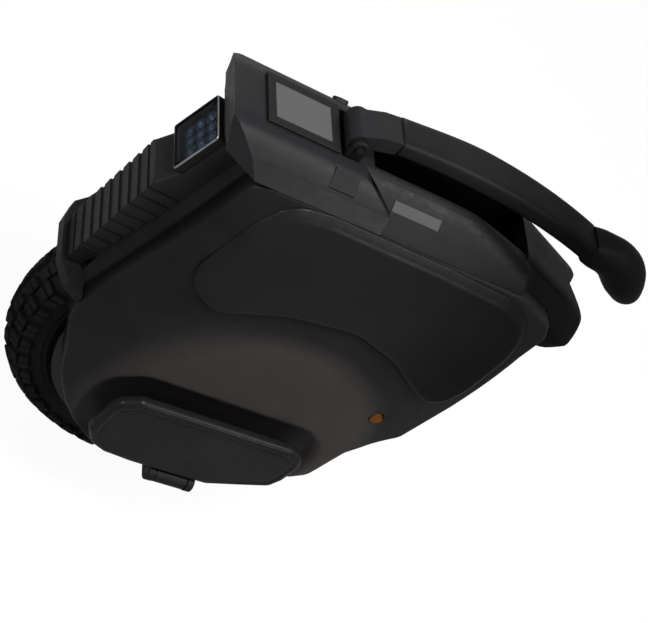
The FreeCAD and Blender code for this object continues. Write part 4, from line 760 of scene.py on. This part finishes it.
def make_barrel(node, side):
    """The pedal's hinge barrel with its neck, chamfered at both ends."""
    y, h = PEDAL_HINGE
    bm = bmesh.new()
    inset, shoulder = BARREL_HALF - BARREL_CHAMFER, BARREL_RADIUS - BARREL_CHAMFER
    profile = [(-BARREL_HALF, BARREL_BORE), (-BARREL_HALF, shoulder), (-inset, BARREL_RADIUS),
               (inset, BARREL_RADIUS), (BARREL_HALF, shoulder), (BARREL_HALF, BARREL_BORE)]
    hoop(bm, [[bm.verts.new(at(px, side * (y + r * math.cos(a)), h + r * math.sin(a))) for px, r in profile]
              for a in turns(BARREL_SIDES)])
    neck = [(-NECK_HALF, NECK_IN), (NECK_HALF, NECK_IN), (NECK_HALF, NECK_OUT), (-NECK_HALF, NECK_OUT)]
    closed(bm, [[bm.verts.new(at(px, side * py, height)) for px, py in neck]
                for height in (h + NECK_SINK, PEDAL_FOOT + NECK_SINK)])
    finish_mesh(bm, node + "_barrel", node, material=DARK_TRIM)


# Tyre: a block's length, skew and sipe are shares of the pitch, and its rows are shares of a quarter turn.
# The wrap is in degrees, and the ribs' places are in radians

TYRE_DEPTH, TYRE_STEPS = 9.0, 180
WRAP, WRAP_STEPS = 128, 64
RIB_HEIGHT, RIBS = 0.7, ((1.66, 1.74), (1.86, 1.9))
BLOCK_COUNT, BLOCK_LENGTH, BLOCK_HEIGHT, BLOCK_SKEW, BLOCK_SHARP = 44, 0.62, 5.5, 0.04, 30.0
BLOCK_ROWS = ((0.08, 0.32), (0.36, 0.6), (0.635, 0.86))
BLOCK_SINK, BLOCK_SHOULDER, BLOCK_CREST = 1.0, 1.0, 0.1
BLOCK_TAPERS = (1.0, 0.95, 0.84)
SIPE = 0.05


def on_tyre(turn, radius, section):
    """A point of the tyre: its turn about the axle, and its place in the round section."""
    reach = TYRE_CENTRE + radius * math.cos(section)
    return at(reach * math.cos(turn), radius * math.sin(section), reach * math.sin(turn))


def make_tyre():
    """A road-and-trail tyre: a round carcass, and staggered blocks that are cut by fine sipes."""
    carcass, inner = SECTION - BLOCK_HEIGHT, SECTION - TYRE_DEPTH
    sweep = [math.radians(-WRAP + 2 * WRAP * i / WRAP_STEPS) for i in range(WRAP_STEPS + 1)]
    ribs = [RIB_HEIGHT * any(low < abs(a) < high for low, high in RIBS) for a in sweep]
    profile = [(carcass + r, a) for r, a in zip(ribs, sweep)] + [(inner, a) for a in reversed(sweep)]
    bm = bmesh.new()
    hoop(bm, [[bm.verts.new(on_tyre(turn, r, a)) for r, a in profile] for turn in turns(TYRE_STEPS)])
    finish_mesh(bm, "tyre_carcass", "tyre", ["tyre"])

    bm = bmesh.new()
    pitch = 2 * math.pi / BLOCK_COUNT
    length = (BLOCK_LENGTH - SIPE) / 2 * pitch
    levels = (carcass - BLOCK_SINK, SECTION - BLOCK_SHOULDER, SECTION - BLOCK_CREST)

    def block(turn, section, width, skew):
        """One tread block, drawn in towards its top."""
        rings = []
        for radius, taper in zip(levels, BLOCK_TAPERS):
            ring = []
            for du, dv in ((-1, -1), (1, -1), (1, 1), (-1, 1)):
                along = turn + du * length / 2 * taper + skew * dv
                ring.append(bm.verts.new(on_tyre(along, radius, section + dv * width / 2 * taper)))
            rings.append(ring)
        closed(bm, rings)

    for row, (low, high) in enumerate(BLOCK_ROWS):
        for side in (-1, 1):
            first = pitch / 2 * (min(row, 1) + (side > 0)) + BLOCK_LENGTH / 2 * pitch
            for i in range(BLOCK_COUNT):
                for half in (-1, 1):
                    turn = -(first + i * pitch) + half * (length + SIPE * pitch) / 2
                    section = side * (low + high) / 2 * math.pi / 2
                    skew = side * pitch * BLOCK_SKEW * (-1) ** row
                    block(turn, section, (high - low) * math.pi / 2, skew)
    finish_mesh(bm, "tyre_blocks", "tyre", sharp=BLOCK_SHARP)


# Handle

SWEEP_SIDES = 40
ROOT_TOP = 389.0
ARM_FRONT, ARM_REAR, ARM_END = 48.8, -215.0, 361.0
ARM_FALL, ARM_BOW, ARM_CREST_SHARE = 20.0, 11.5, 0.42
ARM_HALF, ARM_TALL, ARM_DEPTH, ARM_POWER = 19.0, 9.2, 7.2, 5.0
ARM_SWELL, ARM_SWELL_END = 2.6, 0.4
ARM_EDGE, ARM_EDGE_SHARE, ARM_FIRST, ARM_STEPS = 0.004, 0.93, 0.03, 40
GRIP_REACH, GRIP_DROP, GRIP_RADIUS = 109.0, 41.0, 24.0

# The grip's form along its length, as shares of its reach, radius and drop
GRIP_PLACES = (0.0, 0.12, 0.4, 0.7, 0.9, 1.0)
GRIP_RADII = (0.62, 0.79, 0.97, 0.99, 0.62, 0.26)
GRIP_SAGS = (0.0, 0.0, 0.08, 0.51, 0.88, 1.0)

GRIP_STEPS, GRIP_GAP, GRIP_POWER, GRIP_SHARP = 40, 0.2, 2.0, 60.0
GRIP_ENTRY, GRIP_ENTRY_FLARE, GRIP_ENTRY_POWER = 0.3, 3.2, 2.0
GRIP_CAP, GRIP_CAP_DROP, GRIP_CAP_PLACES = 1.6, 0.6, (0.35, 0.65, 0.9)


def sweep_solid(stations, name, node, sharp=40.0, material=None):
    """A closed solid through rounded sections, by place, lean, half width, half height and power."""
    bm = bmesh.new()
    rings = []
    for x, h, tilt, half, tall, power in stations:
        ring = []
        for a in turns(SWEEP_SIDES):
            c, s = math.cos(a), math.sin(a)
            u = half * math.copysign(abs(c) ** (2 / power), c)
            v = tall * math.copysign(abs(s) ** (2 / power), s)
            ring.append(bm.verts.new(at(x - v * math.sin(tilt), u, h + v * math.cos(tilt))))
        rings.append(ring)
    closed(bm, rings)
    finish_mesh(bm, name, node, [node], material, sharp)


def curve(places, values, t):
    """A smooth curve through values at rising places, read at t."""
    i = min(max(int(np.searchsorted(places, t)) - 1, 0), len(places) - 2)
    slopes = np.gradient(values, places)
    run = places[i + 1] - places[i]
    u = (t - places[i]) / run
    bend = run * u * (1 - u) * ((1 - u) * slopes[i] - u * slopes[i + 1])
    return values[i] + (values[i + 1] - values[i]) * ease(u) + bend


def arm_top(x):
    """Height of the arm's upper line, which falls to the rear and bows up on its way."""
    share = (ARM_FRONT - x) / (ARM_FRONT - ARM_REAR)
    bow = ARM_BOW * share * (1 - share) / (ARM_CREST_SHARE * (1 - ARM_CREST_SHARE))
    return ROOT_TOP - share * ARM_FALL + bow


def make_handle():
    """The curved arm, which swells a little behind its root, and the drooping grip on its end."""
    stations = []
    inner = [ARM_FIRST + (1 - 2 * ARM_FIRST) * i / ARM_STEPS for i in range(ARM_STEPS + 1)]
    for share in [0.0, ARM_EDGE, *inner, 1.0 - ARM_EDGE, 1.0]:
        x = ARM_FRONT + share * (ARM_REAR - ARM_FRONT)
        slope = (arm_top(x - 1) - arm_top(x + 1)) / 2
        ends = ARM_EDGE_SHARE if share in (0.0, 1.0) else 1.0
        swell = ARM_SWELL * ease(rise(share, 0.0, ARM_SWELL_END))
        stations.append((x, arm_top(x) - ARM_DEPTH + swell / 2, -slope, (ARM_HALF + swell) * ends,
                         (ARM_TALL + swell / 2) * ends, ARM_POWER))
    sweep_solid(stations, "handle_arm_form", "handle_arm", material=ARM_PLASTIC)

    rings = []
    for i in range(GRIP_STEPS + 1):
        share = math.sin(math.pi / 2 * i / GRIP_STEPS)
        radius = GRIP_RADIUS * curve(GRIP_PLACES, GRIP_RADII, share)
        sag = GRIP_DROP * curve(GRIP_PLACES, GRIP_SAGS, share)
        entry = rise(share, GRIP_ENTRY, 0.0) ** 2
        tilt = math.atan2(GRIP_DROP * min(2 * share, 1), GRIP_REACH)
        rings.append((ARM_REAR - GRIP_GAP - share * GRIP_REACH, ARM_END - sag, tilt,
                      radius + GRIP_ENTRY_FLARE * entry, radius, GRIP_POWER + GRIP_ENTRY_POWER * entry))
    x, h, tilt, radius, _, power = rings[-1]
    for k in GRIP_CAP_PLACES:
        end = radius * (1 - k ** 2)
        rings.append((x - GRIP_CAP * k, h - GRIP_CAP_DROP * k, tilt, end, end, power))
    sweep_solid(rings, "handle_grip_form", "handle_grip", sharp=GRIP_SHARP)


# Headlight

LAMP_HEAD, LAMP_FOOT = (190.0, 322.0), (204.0, 253.18)
LAMP_DROP = 40.0
LAMP_HEIGHT = RISE - LAMP_DROP
LAMP_HALF = (27.0, 30.0)
LAMP_BACK, LAMP_FRONT, BEZEL_WALL = -2.4, 10.0, 2.5
LENS_BACK, LENS_FRONT, LENS_GAP = 6.4, 9.4, 0.2
BOARD_BACK, BOARD_FRONT = -0.5, 1.5
LED_COLUMNS, LED_ROWS = 3, 3
LAMP_TILT = math.atan2(LAMP_FOOT[0] - LAMP_HEAD[0], LAMP_HEAD[1] - LAMP_FOOT[1])
LAMP_CORNER, LAMP_LEAST_CORNER, LAMP_CORNER_STEPS = 3.5, 1.0, 5
LED_SIDES = 24

# Sections through the lamp: insets from its edge, or radii of dishes and domes, with places out of its face
LENS_EDGE = BEZEL_WALL + LENS_GAP
BEZEL_SECTION = [(0.0, LAMP_BACK), (0.0, 8.8), (0.5, 9.7), (1.2, LAMP_FRONT), (2.0, 9.9),
                 (BEZEL_WALL, LENS_FRONT), (BEZEL_WALL, LAMP_BACK)]
BRIGHT_BANDS = (2, 3)
LENS_SECTION = [(LENS_EDGE, LENS_BACK), (LENS_EDGE, 9.0), (LENS_EDGE + 0.5, LENS_FRONT),
                (LENS_EDGE + 8.0, LENS_FRONT + 0.15)]
BOARD_SECTION = [(LENS_EDGE, BOARD_BACK), (LENS_EDGE, BOARD_FRONT)]
DISH_SECTION = [(6.6, BOARD_FRONT), (6.4, 3.4), (5.7, 3.4), (3.4, 1.8)]
DOME_SECTION = [(3.4, BOARD_FRONT), (3.3, 2.6), (2.7, 3.6), (1.6, 4.25), (0.5, 4.45)]


def on_lamp(out, across, up):
    """A point on the leaning lamp: how far out of its face, across it and up it."""
    share = (LAMP_HEIGHT - LAMP_FOOT[1]) / (LAMP_HEAD[1] - LAMP_FOOT[1])
    foot = LAMP_FOOT[0] + share * (LAMP_HEAD[0] - LAMP_FOOT[0])
    c, s = math.cos(LAMP_TILT), math.sin(LAMP_TILT)
    return at(foot + out * c - up * s, across, LAMP_HEIGHT + out * s + up * c)


def lamp_ring(bm, inset, out):
    """Points round the lamp's rounded rectangle, drawn in by an inset."""
    w, h = (half - inset for half in LAMP_HALF)
    corners = [(w, h), (-w, h), (-w, -h), (w, -h)]
    corner = max(LAMP_CORNER - inset, LAMP_LEAST_CORNER)
    return [bm.verts.new(on_lamp(out, *p)) for p in rounded(corners, corner, LAMP_CORNER_STEPS)]


def lamp_solid(name, node, section):
    """A closed plate through insets and places out of the lamp's face."""
    bm = bmesh.new()
    closed(bm, [lamp_ring(bm, inset, out) for inset, out in section])
    finish_mesh(bm, name, node, [node])


def make_lamp():
    """A thin bright frame with dark sides, a clear lens, and a dark board with lamps in small dishes."""
    bm = bmesh.new()
    rings = [lamp_ring(bm, inset, out) for inset, out in BEZEL_SECTION]
    for k, ring in enumerate(rings):
        band(bm, rings[k - 1], ring, 0 if k in BRIGHT_BANDS else 1)
    bezel = finish_mesh(bm, "headlight_bezel_form", "headlight_bezel", ["headlight_bezel"])
    bezel.data.materials.append(DARK_TRIM)
    lamp_solid("headlight_lens_form", "headlight_lens", LENS_SECTION)
    lamp_solid("headlight_board_form", "headlight_leds", BOARD_SECTION)
    make_leds("headlight_dishes", DISH_SECTION, DISH)
    make_leds("headlight_domes", DOME_SECTION, LED)


def make_leds(name, section, material):
    """Round forms in rows and columns on the lamp's board."""
    bm = bmesh.new()
    for column in range(LED_COLUMNS):
        for row in range(LED_ROWS):
            y = ((column + 1) / (LED_COLUMNS + 1) - 1 / 2) * 2 * (LAMP_HALF[0] - BEZEL_WALL)
            h = ((row + 1) / (LED_ROWS + 1) - 1 / 2) * 2 * (LAMP_HALF[1] - BEZEL_WALL)
            closed(bm, [[bm.verts.new(on_lamp(out, y + r * math.cos(a), h + r * math.sin(a)))
                         for a in turns(LED_SIDES)] for r, out in section])
    finish_mesh(bm, name, "headlight_leds", material=material)


make_shells()
make_pads()
make_pedals()
make_tyre()
make_handle()
make_lamp()


# Covers: planes by normal and point, cuts by axis and places, in millimetres, with heights from the floor

def mirrored(*places):
    """Places on both sides of the middle."""
    return [side * y for side, _ in SIDES for y in places]


HEAD_TOP = AXLE + 357.0
HEAD_PLANES = [plane((0, 0, 1), (0, 0, HEAD_TOP)), *both_sides((0, 1, 1), (0, 41.0, HEAD_TOP))]
HEAD_CUTS = [(1, mirrored(24, 28, 31, 34, 36.5, 39, 41, 43, 45.5, 48, 52, 57, 62)),
             (2, (562, 567, 572, 577, 582, 586, 589))]
RIDGE = AXLE + 360.0
MIDDLE_PLANES = [plane((0, 0, 1), (0, 0, RIDGE)), plane((-24, 0, 87.9), (-62.0, 0, RIDGE)),
                 *both_sides((0, 38, 40), (0, 29.5, RIDGE))]
MIDDLE_CUTS = [(1, mirrored(28, 31, 34, 38, 42, 46, 50, 54, 58, 63)),
               (0, range(-144, 0, 8)), (2, (562, 567, 572, 577, 582, 586, 590))]
TAIL_PLANES = [plane((-0.35, 0, 0.94), (-149.9, 0, 574.0)), plane((-0.59, 0, -0.81), (-240.1, 0, 493.0)),
               plane((-1, 0, 0), (-272.0, 0, 528.0)), *both_sides((0, 1, 0), (0, 63.0, 0)),
               *both_sides((-0.27, 0.64, 0.72), (-149.9, 34.0, 574.0))]
TAIL_CUTS = [(1, mirrored(8, 16, 22, 26, 30, 33, 36, 40, 45, 50, 54, 57, 60, 62)),
             (0, (-270, -267, -264, -260, -256, -252, -246, -240, -234, -228, -222, -215, -208, -200, -190,
                  -175, -160)),
             (2, range(496, 574, 4))]
LEDGE_CUTS = [(1, mirrored(13, 15.5, 18, 20, 22, 23.5, 25, 26, 27, 27.8))]

# The ledge below the lamp: where its ends start to round and stop, and where that sets in along each axis
LEDGE_END, LEDGE_ROUND = (13.0, 28.6), 9.0
LEDGE_HEAD, LEDGE_FOOT, LEDGE_FRONT = (487.0, 481.0), (459.0, 465.0), (198.0, 203.0)

# The nose's groove floors: their front by height over the axle and x, their sides by x and half width
GROOVE_HEAD, GROOVE_FOOT = (219.7, 217.2), (111.0, 228.0)
GROOVE_BACK, GROOVE_FRONT = (187.7, 27.0), (217.0, 24.3)
GROOVE_START, GROOVE_NEAR_SIDE, GROOVE_NEAR_FRONT = 188.0, 0.7, 0.9
GROOVE_FILL, GROOVE_SIDE_SHARE = 1.9, 0.8
# Height over the axle below which the nose takes a darker finish: painted shade on its lower lip
SHADED_LIP_TOP = 108.0


def scooped(co):
    """Rounds the ends of the ledge below the lamp."""
    share = rise(abs(co.y), *LEDGE_END)
    within = rise(co.z, *LEDGE_HEAD) * rise(co.z, *LEDGE_FOOT) * rise(co.x, *LEDGE_FRONT)
    return Vector((co.x, co.y, co.z - LEDGE_ROUND * (1 - math.sqrt(1 - share ** 2)) * within))


def shallow(co):
    """Brings the floors of the nose's grooves nearer to its ribs."""
    front = line(co.z - AXLE, GROOVE_HEAD, GROOVE_FOOT)
    half = line(co.x, GROOVE_BACK, GROOVE_FRONT)
    if abs(abs(co.y) - half) > GROOVE_NEAR_SIDE or not GROOVE_START < co.x < front + GROOVE_NEAR_FRONT:
        return co
    out = GROOVE_FILL if abs(co.x - front) < GROOVE_NEAR_FRONT else 0.0
    return Vector((co.x + out, co.y + math.copysign(GROOVE_FILL * GROOVE_SIDE_SHARE, co.y), co.z))


dress("head_cover", width=2.0, cuts=HEAD_CUTS, planes=HEAD_PLANES, soft=4.0)
dress("charge_port_cover", width=0.4, segments=2)
dress("middle_cover", width=1.2, material=TAIL_PLASTIC, cuts=MIDDLE_CUTS, planes=MIDDLE_PLANES, soft=3.5)
dress("tail_cover", width=1.6, material=TAIL_PLASTIC, cuts=TAIL_CUTS, planes=TAIL_PLANES, soft=3.5)
nose = dress("front_mudguard", width=0.8, segments=2, material=NOSE_PLASTIC, shape=shallow)
# painted shade: the nose's faces below its lip top take the darker trim finish
nose.data.materials.append(DARK_TRIM)
for face in nose.data.polygons:
    face.material_index = face.center.z < (AXLE + SHADED_LIP_TOP) * MM
dress("headlight_housing", width=1.2, material=NOSE_PLASTIC, cuts=LEDGE_CUTS, shape=scooped)

# Pieces that only have their edges rounded, by width and segments
ROUNDED = {
    "rear_mudguard": (1.2, 2),
    "handle_root": (1.6, 3),
    "handle_yoke": (1.2, 3),
    "display_frame": (0.9, 3),
    "hanger_left": (1.2, 2),
    "hanger_right": (1.2, 2),
    "label_plate": (0.25, 2),
    "taillight_lens": (1.0, 3),
    "power_button": (0.8, 2),
    "lift_button": (0.8, 2),
}
for node, (width, segments) in ROUNDED.items():
    dress(node, width, segments)


# Stage, camera and lamps

FLOOR_HALF, FLOOR_TONE, FLOOR_ROUGH, FLOOR_GLOW = 6.0, (0.86, 0.86, 0.86, 1), 0.9, 0.93
REFLECTED, AMBIENT = 0.3, 0.45
CAMERA_AZ, CAMERA_EL, CAMERA_ROLL = 49.3, 40.0, 50.2
CAMERA_REACH = 1504.0
CAMERA_TARGET = (-41.4, 18.3, 374.2)
CAMERA_SENSOR, CAMERA_LENS = 36.0, 79.07

# Lamps: the direction that they stand in, their distance and size in metres, and their watts
LIGHTS = {
    "key": ((0.02, 0.32, 0.95), 2.0, 0.6, 42.0),
    "front": ((0.85, 0.25, 0.45), 2.4, 0.5, 25.0),
    "edges": ((-0.5, 0.36, 0.79), 2.0, 0.35, 13.0),
    "side": ((-0.5, 0.78, 0.38), 2.3, 0.4, 9.0),
    "right": ((-0.1, -0.85, 0.5), 2.4, 0.8, 9.0),
}
LIGHT_AIM = (0, 0, 0.35)


def pale_floor():
    """A pale floor that looks white to the camera, dim in reflections, and keeps a soft shadow."""
    m = Nodes(bpy.data.materials.new("pale_floor"))
    m.set(Base_Color=FLOOR_TONE, Roughness=FLOOR_ROUGH, Specular_IOR_Level=LOW_SHINE)
    seen = m.seen()
    strength = m.spread(seen, REFLECTED, 1.0, 0.0, 1.0)
    glow = m.add("Emission", {"Color": (1, 1, 1, 1), "Strength": strength})
    shown = m.combined("MAXIMUM", seen, m.add("LightPath").outputs["Is Glossy Ray"])
    share = m.combined("MULTIPLY", shown, FLOOR_GLOW)
    mix = m.add("MixShader", {"Fac": share, 1: m.shader.outputs[0], 2: glow.outputs[0]})
    m.give(m.tree.nodes["Material Output"].inputs["Surface"], mix.outputs[0])
    return m.owner


floor_mesh = bmesh.new()
bmesh.ops.create_grid(floor_mesh, x_segments=1, y_segments=1, size=FLOOR_HALF)
floor_data = bpy.data.meshes.new("floor")
floor_mesh.to_mesh(floor_data)
floor_mesh.free()
floor = bpy.data.objects.new("floor", floor_data)
scene.collection.objects.link(floor)
floor_data.materials.append(pale_floor())

az, el, roll = (math.radians(a) for a in (CAMERA_AZ, CAMERA_EL, CAMERA_ROLL))
back = Vector((math.cos(el) * math.cos(az), math.cos(el) * math.sin(az), math.sin(el)))
level = Vector((0, 0, 1)).cross(back).normalized()
upright = back.cross(level)
right = level * math.cos(roll) + upright * math.sin(roll)
up = upright * math.cos(roll) - level * math.sin(roll)
camera_data = bpy.data.cameras.new("camera")
camera_data.sensor_width = CAMERA_SENSOR
camera_data.lens = CAMERA_LENS
camera = bpy.data.objects.new("camera", camera_data)
scene.collection.objects.link(camera)
place = Vector(CAMERA_TARGET) * MM + back * CAMERA_REACH * MM
camera.matrix_world = Matrix.Translation(place) @ Matrix((right, up, back)).transposed().to_4x4()
scene.camera = camera

for name, (direction, reach, size, power) in LIGHTS.items():
    light = bpy.data.lights.new(name, "AREA")
    light.size = size
    light.energy = power
    lamp = bpy.data.objects.new(name, light)
    scene.collection.objects.link(lamp)
    away = Vector(direction)
    lamp.location = Vector(LIGHT_AIM) + away.normalized() * reach
    lamp.rotation_euler = (-away).to_track_quat("-Z", "Y").to_euler()

# A world that is white to the camera and through clear pieces, and dimmer in what it lights
backdrop = Nodes(bpy.data.worlds.new("studio"), "Background")
strength = backdrop.spread(backdrop.seen(), AMBIENT, 1.0, 0.0, 1.0)
scene.world = backdrop.set(Color=(1, 1, 1, 1), Strength=strength)

scene.view_settings.view_transform = "Standard"
